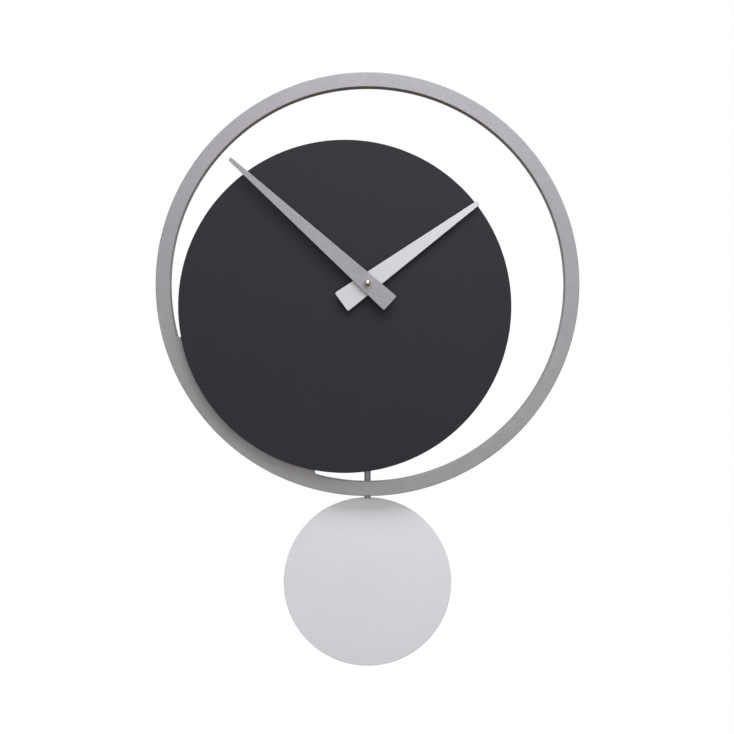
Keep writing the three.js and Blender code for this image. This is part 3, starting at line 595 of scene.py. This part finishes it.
def lacquer(name, colour, constants, rough, flake, peel=0.12, wear=0.1, sides=None):
    """Sprayed lacquer: flakes in the coat, faint clouds from the gun, orange peel, rubbed edges.

    Flake, peel and wear are how strongly the flakes, the orange peel and the rubbed edges show.
    """
    finish, tree, shader, place = new_finish(name, constants)
    clouds = spread(tree, noise(tree, place, 14, 3), 0.35, 0.65)
    base = mix(tree, clouds, shaded(colour, 0.97), shaded(colour, 1.03))
    flakes = cells(tree, place, 2400)
    dark = mix(tree, flakes, shaded(colour, 1 - flake), shaded(colour, 1 + flake))
    base = mix(tree, 0.6, base, dark)
    edge = add(tree, "ShaderNodeAttribute", attribute_name="edge").outputs["Fac"]
    rubbed = calc(tree, "MULTIPLY", edge, spread(tree, noise(tree, place, 60, 4), 0.45, 0.75, 0, wear))
    light = [min(1, channel * 1.5 + 0.05) for channel in colour]
    base = mix(tree, rubbed, base, shaded(light, 1))
    if sides:
        base = mix(tree, on_the_side(tree), base, shaded(sides, 1))
    dull = spread(tree, noise(tree, place, 90, 3), 0.3, 0.7, rough - 0.05, rough + 0.05)
    dull = calc(tree, "ADD", dull, calc(tree, "MULTIPLY", on_the_side(tree), 0.12))
    drive(tree, shader, base, dull)
    skin = relief(tree, shader, noise(tree, place, 520, 2), 0.02 * MM, peel)
    fibres = noise(tree, place, 260, 4, (1, 9, 1))
    fibres = calc(tree, "MULTIPLY", fibres, on_the_side(tree))
    relief(tree, shader, fibres, 0.12 * MM, 0.5, skin)
    return finish


def raw_board(name):
    """Medium-density fibreboard as sawn: fine fibres on the faces, darker dense layers in the edge."""
    finish, tree, shader, place = new_finish(name, {"Metallic": 0.0})
    fibre = noise(tree, place, 900, 5, (1, 1, 0.35))
    grain = spread(tree, fibre, 0.3, 0.7)
    face = mix(tree, grain, (0.30, 0.20, 0.115, 1), (0.43, 0.30, 0.18, 1))
    layers = noise(tree, place, 500, 4, (0.2, 2.2, 0.2))
    sawn = mix(tree, spread(tree, layers, 0.35, 0.65), (0.19, 0.12, 0.062, 1), (0.34, 0.225, 0.125, 1))
    drive(tree, shader, mix(tree, on_the_side(tree), face, sawn), spread(tree, grain, 0, 1, 0.78, 0.92))
    relief(tree, shader, fibre, 0.15 * MM, 0.6)
    return finish


def zinc_steel(name):
    """Zinc-plated steel with faint spangle and fine scuffs."""
    finish, tree, shader, place = new_finish(name, {"Metallic": 1.0})
    spangle = cells(tree, place, 420)
    haze = noise(tree, place, 160, 4)
    grey = mix(tree, spangle, (0.52, 0.53, 0.55, 1), (0.66, 0.67, 0.69, 1))
    grey = mix(tree, spread(tree, haze, 0.4, 0.8, 0, 0.5), grey, (0.55, 0.53, 0.47, 1))
    drive(tree, shader, grey, spread(tree, haze, 0.3, 0.7, 0.26, 0.42))
    relief(tree, shader, noise(tree, place, 1500, 3), 0.01 * MM, 0.5)
    return finish


def turned_brass(name):
    """Pale brass with fine tool marks, slightly tarnished in patches."""
    finish, tree, shader, place = new_finish(name, {"Metallic": 1.0})
    marks = noise(tree, place, 1800, 2, (0.25, 3, 0.25))
    tarnish = spread(tree, noise(tree, place, 240, 4), 0.45, 0.8)
    colour = mix(tree, tarnish, (0.88, 0.84, 0.74, 1), (0.68, 0.60, 0.46, 1))
    drive(tree, shader, colour, spread(tree, marks, 0.3, 0.7, 0.20, 0.36))
    relief(tree, shader, marks, 0.01 * MM, 0.5)
    return finish


def drawn_rod(name):
    """Steel rod painted warm grey, with lines along its length."""
    finish, tree, shader, place = new_finish(name, {"Metallic": 0.35})
    lines = noise(tree, place, 1500, 3, (1, 1, 0.03))
    colour = mix(tree, spread(tree, lines, 0.3, 0.7), (0.33, 0.315, 0.295, 1), (0.42, 0.405, 0.385, 1))
    drive(tree, shader, colour, spread(tree, lines, 0.3, 0.7, 0.34, 0.5))
    relief(tree, shader, lines, 0.01 * MM, 0.4)
    return finish


def copper_wire(name):
    finish, tree, shader, place = new_finish(name, {"Metallic": 0.9, "Coat Weight": 0.4})
    tone = spread(tree, noise(tree, place, 700, 3), 0.35, 0.65)
    colour = mix(tree, tone, (0.42, 0.13, 0.045, 1), (0.62, 0.24, 0.09, 1))
    drive(tree, shader, colour, spread(tree, tone, 0, 1, 0.22, 0.36))
    return finish


def black_rubber(name):
    finish, tree, shader, place = new_finish(name, {"Metallic": 0.0})
    dust = spread(tree, noise(tree, place, 600, 5), 0.45, 0.8)
    colour = mix(tree, dust, (0.012, 0.012, 0.013, 1), (0.05, 0.048, 0.045, 1))
    drive(tree, shader, colour, spread(tree, dust, 0, 1, 0.7, 0.9))
    relief(tree, shader, noise(tree, place, 1800, 2), 0.04 * MM, 0.5)
    return finish


def moulded_plastic(name, dark, light, rough, constants):
    """Moulded plastic with the fine texture of a spark-eroded mould, a little shinier where rubbed."""
    finish, tree, shader, place = new_finish(name, constants)
    tone = spread(tree, noise(tree, place, 120, 4), 0.35, 0.65)
    rubbed = spread(tree, noise(tree, place, 45, 3), 0.3, 0.7, rough - 0.08, rough + 0.08)
    drive(tree, shader, mix(tree, tone, dark, light), rubbed)
    relief(tree, shader, cells(tree, place, 3500), 0.012 * MM, 0.5)
    return finish


def printed_circuit(name):
    """Green solder mask with straight tracks showing through."""
    finish, tree, shader, place = new_finish(name, {"Metallic": 0.0, "Coat Weight": 0.5})
    tracks = add(tree, "ShaderNodeTexBrick", {"Vector": place, "Scale": 260.0, "Mortar Size": 0.02},
                 offset=0.35)
    mask = mix(tree, tracks.outputs["Fac"], (0.01, 0.10, 0.035, 1), (0.06, 0.24, 0.08, 1))
    cloud = spread(tree, noise(tree, place, 300, 2), 0.3, 0.7, 0, 0.25)
    drive(tree, shader, mix(tree, cloud, mask, (0.01, 0.07, 0.03, 1)),
          spread(tree, cloud, 0, 0.25, 0.3, 0.45))
    return finish


def cell_sleeve(name):
    """The printed sleeve of a dry cell: dark body, copper band at the positive end, bare steel ends."""
    low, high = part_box("battery")
    length = high.x - low.x
    finish, tree, shader, place = new_finish(name, {"Coat Weight": 0.6})
    along = add(tree, "ShaderNodeSeparateXYZ", {0: place}).outputs["X"]
    band = calc(tree, "GREATER_THAN", along, low.x + 0.68 * length)
    bare_left = calc(tree, "LESS_THAN", along, low.x + 0.5 * MM)
    bare_right = calc(tree, "GREATER_THAN", along, high.x - 2.0 * MM)
    bare = calc(tree, "MAXIMUM", bare_left, bare_right)
    scuff = spread(tree, noise(tree, place, 350, 4), 0.35, 0.7)
    body = mix(tree, scuff, (0.040, 0.058, 0.085, 1), (0.048, 0.067, 0.096, 1))
    gold = mix(tree, scuff, (0.50, 0.25, 0.10, 1), (0.55, 0.29, 0.12, 1))
    colour = mix(tree, band, body, gold)
    metal = calc(tree, "MAXIMUM", bare, calc(tree, "MULTIPLY", band, 0.8))
    tree.links.new(metal, shader.inputs["Metallic"])
    drive(tree, shader, mix(tree, bare, colour, (0.6, 0.6, 0.6, 1)),
          spread(tree, scuff, 0, 1, 0.22, 0.36))
    return finish


FINISHES = {
    "grey_lacquer_board": lacquer("grey_lacquer", (0.31, 0.303, 0.322), {"Metallic": 0.25}, 0.5, 0.16),
    "silver_lacquer_board": lacquer("silver_lacquer", (0.80, 0.805, 0.85), {"Metallic": 0.1}, 0.55, 0.06),
    "black_lacquer_board": lacquer("black_lacquer", (0.0320, 0.0305, 0.0375),
                                   {"Metallic": 0.0, "Specular IOR Level": 0.08}, 0.6, 0.1,
                                   wear=0.06, sides=(0.075, 0.045, 0.024)),
    "grey_hand": lacquer("grey_hand_paint", (0.295, 0.290, 0.310), {"Metallic": 0.2}, 0.5, 0.3,
                         peel=0.1),
    "silver_hand": lacquer("silver_hand_paint", (0.575, 0.57, 0.60), {"Metallic": 0.1}, 0.5, 0.12,
                           peel=0.1),
    "raw_board": raw_board("raw_fibreboard"),
    "zinc_steel": zinc_steel("zinc_plated_steel"),
    "brass": turned_brass("turned_brass"),
    "grey_rod": drawn_rod("painted_rod"),
    "copper_wire": copper_wire("enamelled_copper"),
    "black_rubber": black_rubber("black_rubber"),
    "case_plastic": moulded_plastic("black_case_plastic", (0.016, 0.016, 0.018, 1),
                                    (0.028, 0.028, 0.031, 1), 0.46, {}),
    "gear_plastic": moulded_plastic("white_gear_plastic", (0.60, 0.585, 0.54, 1), (0.74, 0.73, 0.69, 1),
                                    0.38, {"Subsurface Weight": 0.15, "Subsurface Scale": 0.001}),
    "circuit_board": printed_circuit("circuit_board"),
    "cell_sleeve": cell_sleeve("cell_sleeve"),
}

BOARD_TREE = routed_board_tree()
SCREWS_TREE = screws_tree()
WINDING_TREE = winding_tree()
RIBS_TREE = ribs_tree()

# ---- Ring, disc and pendulum ---------------------------------------------------------------------


def make_ring_board():
    case_low, case_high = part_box("case_front")
    window = rounded_box(case_low.x - WINDOW_GAP, case_high.x + WINDOW_GAP,
                         case_low.z - WINDOW_GAP, case_high.z + WINDOW_GAP, WINDOW_CORNER)
    screws = nodes_named("spacer_screw") + nodes_named("disc_screw")
    screw_holes = [circle(middle(name).x, middle(name).z, SCREW_SHANK + SCREW_PLAY, 20)
                   for name in screws]
    outlines = [circle(AXIS.x, AXIS.z, RING_RADIUS, FINE), crescent(), window, *screw_holes]
    make_board("ring_board_lacquered", outlines, "ring_board", BOARD_EDGE, "grey_lacquer_board")


def make_disc():
    outlines = [circle(DISC.x, DISC.z, DISC_RADIUS, FINE), circle(AXIS.x, AXIS.z, BUSH_HOLE)]
    make_board("dial_disc_lacquered", outlines, "dial_disc", BOARD_EDGE, "black_lacquer_board")


def make_bob():
    piece = board("pendulum_bob_lacquered", [circle(BOB.x, BOB.z, BOB_RADIUS, FINE)],
                  *depths("pendulum_bob"), 0.5 * MM, FINISHES["silver_lacquer_board"])
    rod = middle("pendulum_rod")
    low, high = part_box("pendulum_rod")
    play = 0.1 * MM
    bore_radius, bore_end = radius_of("pendulum_rod") + play, low.z - play
    bore = turned("bore", [(0, bore_end), (bore_radius, bore_end), (bore_radius, high.z), (0, high.z)], 48)
    cut_by(piece, set_in_place(bore, UPRIGHT, rod.x, rod.y))
    settle(piece, "pendulum", "silver_lacquer_board", "pendulum_bob")


def make_rod():
    low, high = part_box("pendulum_rod")
    centre, radius = middle("pendulum_rod"), radius_of("pendulum_rod")
    piece = new_piece("pendulum_rod_drawn", turned("rod", [
        (0, low.z), (radius, low.z), (radius, high.z), (0, high.z)], 64))
    piece.data.transform(Matrix.Translation((centre.x, centre.y, 0)))
    hook_low, hook_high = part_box("pendulum_hook")
    gap = 0.1 * MM
    cut_by(piece, box_mesh(Vector((centre.x - 2 * radius, hook_low.y - gap, hook_low.z - gap)),
                           Vector((centre.x + 2 * radius, hook_high.y + gap, high.z + gap))))
    softened(piece, 0.35 * MM, FINISHES["grey_rod"])
    settle(piece, "pendulum", "grey_rod", "pendulum_rod")


def make_hook():
    """A stamped brass hook that curls over the lever's peg."""
    low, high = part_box("pendulum_hook")
    bore, rim, shank_half, heel = 1.8 * MM, 4.8 * MM, 2.4 * MM, 3.4 * MM
    peg_z = high.z - rim
    meet = degrees(asin(shank_half / rim)) - 90
    curl = 207                          # turn about the peg at which the curl ends
    outline = [
        (shank_half, low.z),
        *arc(0, peg_z, rim, meet, curl - 2, 8),
        *arc(*polar(0, peg_z, (rim + bore) / 2, curl), (rim - bore) / 2 - 0.2 * MM, curl, curl + 180, 20),
        *arc(0, peg_z, bore, curl - 4, -65, 8),
        (-shank_half, peg_z - heel),
        (-shank_half, low.z),
    ]
    make_board("pendulum_hook_stamped", [outline], "pendulum_hook", 0.2 * MM, "brass", "pendulum")


# ---- Hands and the centre of the dial ------------------------------------------------------------


def make_hand(name, size, node, slot, body, bore):
    outlines = [hand_outline(size), circle(AXIS.x, AXIS.z, bore)]
    make_board(name, outlines, node, 0.18 * MM, slot, body)


def sleeve_profile(bore, radius, low, high):
    return [(bore, low), (radius, low), (radius, high), (bore, high)]


def make_sleeve(name, node, bore, body, slot, width=0.15 * MM):
    back, front = depths(node)
    centre = middle(node)
    mesh = turned(name, sleeve_profile(bore, radius_of(node), back, front), 72, closed=True)
    piece = new_piece(name, set_in_place(mesh, FORWARD, centre.x, 0, centre.z))
    softened(piece, width, FINISHES[slot])
    settle(piece, body, slot, node)


def make_cap_nut():
    """A small domed nut with a flat skirt and a groove under the dome."""
    back, front = depths("cap_nut")
    radius = radius_of("cap_nut")
    dome, chamfer, groove = 2.6 * MM, 0.2 * MM, 0.25 * MM
    skirt = front - dome
    bore, floor = 1.38 * MM, back + 3.3 * MM
    curve = [(radius * 0.97 * cos(radians(a)), skirt + dome * sin(radians(a))) for a in range(0, 91, 6)]
    profile = [
        (bore, back), (radius - chamfer, back), (radius, back + chamfer), (radius, skirt - 0.5 * MM),
        (radius - groove, skirt - 0.3 * MM), (radius - groove, skirt - 0.12 * MM), *curve[:-1],
        (0, front), (0, floor), (bore, floor),
    ]
    mesh = set_in_place(turned("cap_nut", profile, 72, closed=True), FORWARD, AXIS.x, 0, AXIS.z)
    make_crisp("cap_nut_turned", mesh, 40, "minute_group", "brass", "cap_nut")


def make_dial_nut():
    """A hexagon nut with rounded corners."""
    corner, bore = 0.25 * MM, 4.08 * MM
    inner = radius_of("dial_nut") - corner / cos(pi / 6)
    outline = []
    for turn in range(0, 360, 60):
        outline += arc(*polar(AXIS.x, AXIS.z, inner, turn), corner, turn - 30, turn + 30, 12)
    make_board("dial_nut_milled", [outline, circle(AXIS.x, AXIS.z, bore, 8)], "dial_nut", corner, "brass")


def make_bush():
    """The threaded bush that clamps the movement to the dial. Its grooves are rings, not a spiral."""
    back, front = depths("mounting_bush")
    bore, radius, flange, flange_height = 2.65 * MM, 4 * MM, 5.5 * MM, 0.7 * MM
    thread_start, thread_end = depths("dial_disc")[1] - 6 * MM, front - 0.4 * MM
    profile = [(bore, back), (flange, back), (flange, back + flange_height), (radius, back + flange_height)]
    grooves, groove, taper, chamfer = 16, 0.25 * MM, 0.3 * MM, 0.2 * MM
    pitch = (thread_end - thread_start) / grooves
    for index in range(grooves):
        start = thread_start + index * pitch
        profile += [(radius, start), (radius - groove, start + pitch / 2)]
    profile += [(radius, thread_end), (radius - taper, front), (bore + chamfer, front),
                (bore, front - chamfer)]
    mesh = set_in_place(turned("bush", profile, 72, closed=True), FORWARD, AXIS.x, 0, AXIS.z)
    make_crisp("mounting_bush_threaded", mesh, 25, "clock_body", "brass", "mounting_bush")


# ---- Screws, hanger and spacer -------------------------------------------------------------------


def screw_master(length, pan):
    """One cross-slotted screw about the local Z axis, its point below. A pan head stands on 0, and the
    face of a countersunk head is at 0.
    """
    top = SCREW_HEAD_HEIGHT if pan else 0
    neck = 0 if pan else -SCREW_HEAD_HEIGHT
    if pan:
        head = [(0, top), (SCREW_HEAD * 0.55, top), (SCREW_HEAD * 0.9, top - 0.35 * MM),
                (SCREW_HEAD, 0.4 * MM), (SCREW_HEAD, 0)]
    else:
        head = [(0, 0), (SCREW_HEAD, 0), (SCREW_HEAD, -0.15 * MM)]
    profile = [*head, (SCREW_SHANK, neck), (SCREW_SHANK, SCREW_POINT - length), (0, -length)]
    piece = new_piece("screw_master", turned("screw", profile, 36))
    reach, half, deep = 2.0 * MM, 0.42 * MM, 1.5 * MM
    for wide, narrow in ((half, reach), (reach, half)):
        cut_by(piece, box_mesh(Vector((-wide, -narrow, top - deep)), Vector((wide, narrow, top + MM)),
                               taper=0.35))
    crisp(piece, 35)
    return piece


def make_screws(name, nodes, length, pan, facing, seed):
    """All the screws of one kind, as one piece that stands for their CAD nodes."""
    face = 0 if facing == BACKWARD else 1
    top = SCREW_HEAD_HEIGHT if pan else 0
    master = screw_master(length, pan)
    points = []
    for node in nodes:
        depth = depths(node)[face]
        depth += top if facing == BACKWARD else -top
        points.append((middle(node).x, -depth, middle(node).z))
    mesh = bpy.data.meshes.new(name)
    mesh.from_pydata(points, [], [])
    start = SCREW_HEAD_HEIGHT + PLAIN_NECK
    threaded = length - start - SCREW_POINT * 0.6
    piece = shaped_by(
        new_piece(name, mesh), SCREWS_TREE, Screw=master, Facing=facing.to_euler(),
        Thread_radius=SCREW_SHANK, Thread_turns=threaded / THREAD_PITCH, Thread_length=threaded,
        Thread_start=start, Seed=seed, Finish=FINISHES["zinc_steel"])
    bpy.data.objects.remove(master)
    settle(piece, "clock_body", "zinc_steel", *nodes)


def make_hanger_plate():
    """Stamped steel with two keyholes, which hook over the screws in the wall."""
    low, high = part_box("hanger_plate")
    centre = middle("hanger_plate")
    head, slot, drop, spacing, corner, play = 4.5 * MM, 2.3 * MM, 7 * MM, 60 * MM, 3 * MM, 0.1 * MM
    holes = [circle(middle(name).x, centre.z, SCREW_HEAD + play, 12)
             for name in nodes_named("hanger_screw")]
    shoulder = degrees(asin(slot / head))
    bottom = centre.z - drop / 2
    for x in (-spacing / 2, spacing / 2):
        holes.append([
            *arc(x, bottom, head, 90 + shoulder, 450 - shoulder, 8),
            *arc(x, bottom + drop, slot, 0, 180, 12),
        ])
    outline = rounded_box(low.x, high.x, low.z, high.z, corner, 10)
    make_board("hanger_plate_stamped", [outline, *holes], "hanger_plate", 0.2 * MM, "zinc_steel")


def make_wall_bumpers():
    """Domed rubber feet that keep the lower end off the wall."""
    meshes = []
    for node in nodes_named("wall_bumper"):
        back, front = depths(node)
        radius, centre = radius_of(node), middle(node)
        narrowing = 0.35                # of the radius, from the board to the wall
        curve = [(radius * (1 - narrowing * (1 - cos(radians(a)))),
                  front - (front - back) * sin(radians(a))) for a in range(0, 91, 15)]
        mesh = turned("bumper", [(0, front), *curve, (0, back)], 48)
        meshes.append(set_in_place(mesh, FORWARD, centre.x, 0, centre.z))
    make_crisp("wall_bumpers_moulded", merged("bumpers", meshes), 40, "clock_body", "black_rubber",
               *nodes_named("wall_bumper"))


# ---- Movement ------------------------------------------------------------------------------------


def make_recut(name, node, width, slot, body="clock_body"):
    piece = softened(recut(name, node), width, FINISHES[slot])
    settle(piece, body, slot, node)


def make_case_rear():
    """The rear cover with grip ribs, a collar round the setting knob and a frame round the battery."""
    low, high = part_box("case_rear")
    plastic, face_y = FINISHES["case_plastic"], high.y
    sink = 0.1 * MM                     # each addition starts this far inside the cover's face
    piece = softened(recut("case_rear_moulded", "case_rear"), 0.35 * MM, plastic)
    rib_half, rib_height, rib_half_width = 4.5 * MM, 0.5 * MM, 0.4 * MM
    rib = new_piece("rib_master", box_mesh(Vector((-rib_half, 0, -rib_half_width)),
                                           Vector((rib_half, rib_height, rib_half_width))))
    softened(rib, 0.15 * MM, plastic)
    first_rib = (14 * MM, face_y - sink, high.z - 5 * MM)
    shaped_by(piece, RIBS_TREE, Rib=rib, Count=9, First=first_rib, Step=(0, 0, -2.4 * MM), Finish=plastic)
    bpy.data.objects.remove(rib)
    knob = middle("setting_knob")
    bore, wall, collar_height = radius_of("setting_knob") + 0.8 * MM, 1 * MM, 1.2 * MM
    mesh = turned("collar", sleeve_profile(bore, bore + wall, -sink, collar_height), 64, closed=True)
    collar = new_piece("collar", set_in_place(mesh, BACKWARD, knob.x, face_y, knob.z))
    softened(collar, 0.2 * MM, plastic)
    battery_low, battery_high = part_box("battery")
    side, gap, rim, edging_height = 2.6 * MM, 0.2 * MM, 1 * MM, 0.7 * MM
    window = rounded_box(low.x + side, high.x - side, battery_low.z - gap, battery_high.z + gap, 1 * MM)
    outside = rounded_box(low.x + side - rim, high.x - side + rim, battery_low.z - gap - rim,
                          battery_high.z + gap + rim, 1.6 * MM)
    edging = board("edging", [outside, window], -face_y - edging_height, -face_y + sink, 0.25 * MM, plastic)
    piece.data = merged("case_rear_moulded", [piece.data, collar.data, edging.data])
    piece.data.materials.append(plastic)
    crisp(piece, 50)
    bpy.data.objects.remove(collar)
    bpy.data.objects.remove(edging)
    settle(piece, "clock_body", "case_plastic", "case_rear")


def make_setting_knob():
    """A ridged knob with a bore for its arbor."""
    centre, radius = middle("setting_knob"), radius_of("setting_knob")
    groove, bore, points = 0.4 * MM, 1.3 * MM, KNOB_RIDGES * 8
    outline = []
    for index in range(points):
        turn = 360 * index / points
        wave = (1 - cos(radians(turn * KNOB_RIDGES))) / 2
        outline.append(polar(centre.x, centre.z, radius - groove * wave, turn))
    make_board("setting_knob_ridged", [outline, circle(centre.x, centre.z, bore, 15)], "setting_knob",
               0.3 * MM, "case_plastic", "setting_group")


def make_battery():
    """A dry cell with a rolled sleeve, a step at the positive end and its nub."""
    low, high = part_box("battery")
    centre = middle("battery")
    radius = (high.z - low.z) / 2
    nub, nub_length, roll, chamfer = 2.75 * MM, 1.3 * MM, 0.35 * MM, 0.25 * MM
    end = high.x - nub_length
    profile = [                         # (radius, x), from the flat end to the nub
        (0, low.x + 0.2 * MM), (radius - 2.2 * MM, low.x + 0.2 * MM), (radius - 1.9 * MM, low.x),
        (radius - 1.0 * MM, low.x), (radius - roll, low.x + 0.25 * MM), (radius, low.x + roll * 2),
        (radius, end - roll * 2), (radius - roll, end - 0.15 * MM), (radius - 1.2 * MM, end - 0.05 * MM),
        (radius - 1.5 * MM, end - 0.4 * MM), (nub + 0.5 * MM, end - 0.3 * MM), (nub, end),
        (nub, high.x - chamfer), (nub - chamfer, high.x), (0, high.x),
    ]
    mesh = set_in_place(turned("battery", profile, 72), RIGHTWARD, 0, centre.y, centre.z)
    make_crisp("battery_sleeved", mesh, 35, "clock_body", "cell_sleeve", "battery")


def make_pendulum_coil():
    """A solid former with one layer of wire wound round it."""
    wire, bore = 0.14 * MM, 2.5 * MM
    back, front = depths("pendulum_coil")
    centre, radius = middle("pendulum_coil"), radius_of("pendulum_coil")
    former = turned("former", sleeve_profile(bore, radius - 2 * wire, -wire, front - back - wire), 64,
                    closed=True)
    piece = shaped_by(new_piece("pendulum_coil_wound", former), WINDING_TREE, Radius=radius - 1.2 * wire,
                      Length=front - back - 2 * wire, Wire=wire, Finish=FINISHES["copper_wire"])
    set_in_place(piece.data, FORWARD, centre.x, -back - wire, centre.z)
    settle(piece, "clock_body", "copper_wire", "pendulum_coil")


def repaint_carried_nodes():
    """Gives every CAD node that is still shown the finish of its slot in the record."""
    for row in frame["record"]["subparts"]:
        node = frame["nodes"][row["node"]]
        if node.hide_render:
            continue
        for paint in node.material_slots:
            paint.link = "OBJECT"
            paint.material = FINISHES[row["material_slot"]]


make_ring_board()
make_disc()
make_bob()
make_rod()
make_hook()
make_hand("hour_hand_painted", HOUR_HAND, "hour_hand", "silver_hand", "hour_group", HOUR_BORE)
make_hand("minute_hand_painted", MINUTE_HAND, "minute_hand", "grey_hand", "minute_group",
          MINUTE_BORE)
make_sleeve("hour_hand_collet_turned", "hour_hand_collet", HOUR_BORE, "hour_group", "brass")
make_sleeve("minute_hand_collet_turned", "minute_hand_collet", MINUTE_BORE, "minute_group", "brass")
make_sleeve("dial_washer_turned", "dial_washer", WASHER_BORE, "clock_body", "brass")
make_sleeve("rubber_washer_moulded", "rubber_washer", BUSH_HOLE, "clock_body", "black_rubber")
make_cap_nut()
make_dial_nut()
make_bush()
make_screws("hanger_screws_zinc", nodes_named("hanger_screw"), 15 * MM, False, BACKWARD, 3)
make_screws("spacer_screws_zinc", nodes_named("spacer_screw"), 25 * MM, False, FORWARD, 5)
make_screws("disc_screws_zinc", nodes_named("disc_screw"), 18 * MM, True, BACKWARD, 7)
make_hanger_plate()
make_wall_bumpers()
for spacer in ("spacer_rail", "spacer_leg_left", "spacer_leg_right"):
    make_recut(f"{spacer}_sawn", spacer, 0.5 * MM, "raw_board")
make_recut("case_front_moulded", "case_front", 0.4 * MM, "case_plastic")
make_case_rear()
make_setting_knob()
make_battery()
make_recut("contact_positive_stamped", "contact_positive", 0.1 * MM, "zinc_steel")
make_recut("contact_negative_stamped", "contact_negative", 0.06 * MM, "zinc_steel")
make_recut("pendulum_lever_moulded", "pendulum_lever", 0.25 * MM, "gear_plastic", "pendulum")
make_pendulum_coil()
repaint_carried_nodes()

# ---- Studio --------------------------------------------------------------------------------------

KEY_POWER = 6.5
FRONT_POWER = 7.9


def area_light(name, place, target, size, power, colour):
    light = bpy.data.lights.new(name, "AREA")
    light.shape = "RECTANGLE"
    light.size, light.size_y = size
    light.energy = power
    light.color = colour
    lamp = bpy.data.objects.new(name, light)
    lamp.location = place
    lamp.rotation_euler = (Vector(target) - Vector(place)).to_track_quat("-Z", "Y").to_euler()
    bpy.context.scene.collection.objects.link(lamp)


def make_world():
    """White behind the object, and a dome that is bright above and dim and warm below to light it."""
    world = bpy.data.worlds.new("studio")
    world.use_nodes = True
    bpy.context.scene.world = world
    tree = world.node_tree
    tree.nodes.clear()
    way = add(tree, "ShaderNodeTexCoord").outputs["Generated"]
    height = add(tree, "ShaderNodeSeparateXYZ", {0: way}).outputs["Z"]
    low = mix(tree, spread(tree, height, -0.7, 0.0), (0.09, 0.055, 0.025, 1), (0.30, 0.29, 0.285, 1))
    dome = mix(tree, spread(tree, height, 0.0, 0.8), low, (0.37, 0.37, 0.39, 1))
    behind = add(tree, "ShaderNodeSeparateXYZ", {0: way}).outputs["Y"]     # lights the clock's back
    behind = calc(tree, "MULTIPLY", spread(tree, behind, 0.0, 0.5), spread(tree, height, -0.25, 0.15))
    dome = mix(tree, behind, dome, (0.95, 0.95, 0.95, 1))
    light = add(tree, "ShaderNodeBackground", {"Color": dome, "Strength": 1.0})
    white = add(tree, "ShaderNodeBackground", {"Color": (1, 1, 1, 1), "Strength": 1.0})
    seen = add(tree, "ShaderNodeLightPath").outputs["Is Camera Ray"]
    both = add(tree, "ShaderNodeMixShader", {0: seen, 1: light, 2: white})
    add(tree, "ShaderNodeOutputWorld", {"Surface": both})


def make_floor():
    """A pale disc well below the clock."""
    radius, height = 0.85, -0.78
    mesh = closed_mesh("floor", [(x, z, height) for x, z in circle(0, 0, radius, 5)],
                       [tuple(range(72))])
    floor = new_piece("floor", mesh)
    paint, tree, shader, place = new_finish("pale_floor", {"Roughness": 0.9})
    tone = spread(tree, noise(tree, place, 30, 3), 0.3, 0.7)
    tree.links.new(mix(tree, tone, (0.93, 0.93, 0.93, 1), (0.96, 0.96, 0.96, 1)),
                   shader.inputs["Base Color"])
    shader.inputs["Emission Color"].default_value = (1, 1, 1, 1)
    shader.inputs["Emission Strength"].default_value = 0.6
    floor.data.materials.append(paint)
    floor.visible_diffuse = False
    floor.visible_glossy = False


def make_camera():
    camera = bpy.data.cameras.new("camera")
    camera.lens = 63.9
    camera.sensor_width = 36
    holder = bpy.data.objects.new("camera", camera)
    holder.location = (-0.00045, -1.2155, -0.1491)
    holder.rotation_euler = (pi / 2, 0, 0)
    bpy.context.scene.collection.objects.link(holder)
    bpy.context.scene.camera = holder


make_world()
make_floor()
area_light("key", (0.14, -0.6, 0.55), (0, 0, 0), (0.8, 0.55), KEY_POWER, (0.98, 0.98, 1.0))
area_light("front", (0.1, -1.5, -0.1), (0, 0, -0.15), (1.4, 0.9), FRONT_POWER, (1.0, 0.985, 0.975))
make_camera()
bpy.context.scene.view_settings.view_transform = "Standard"
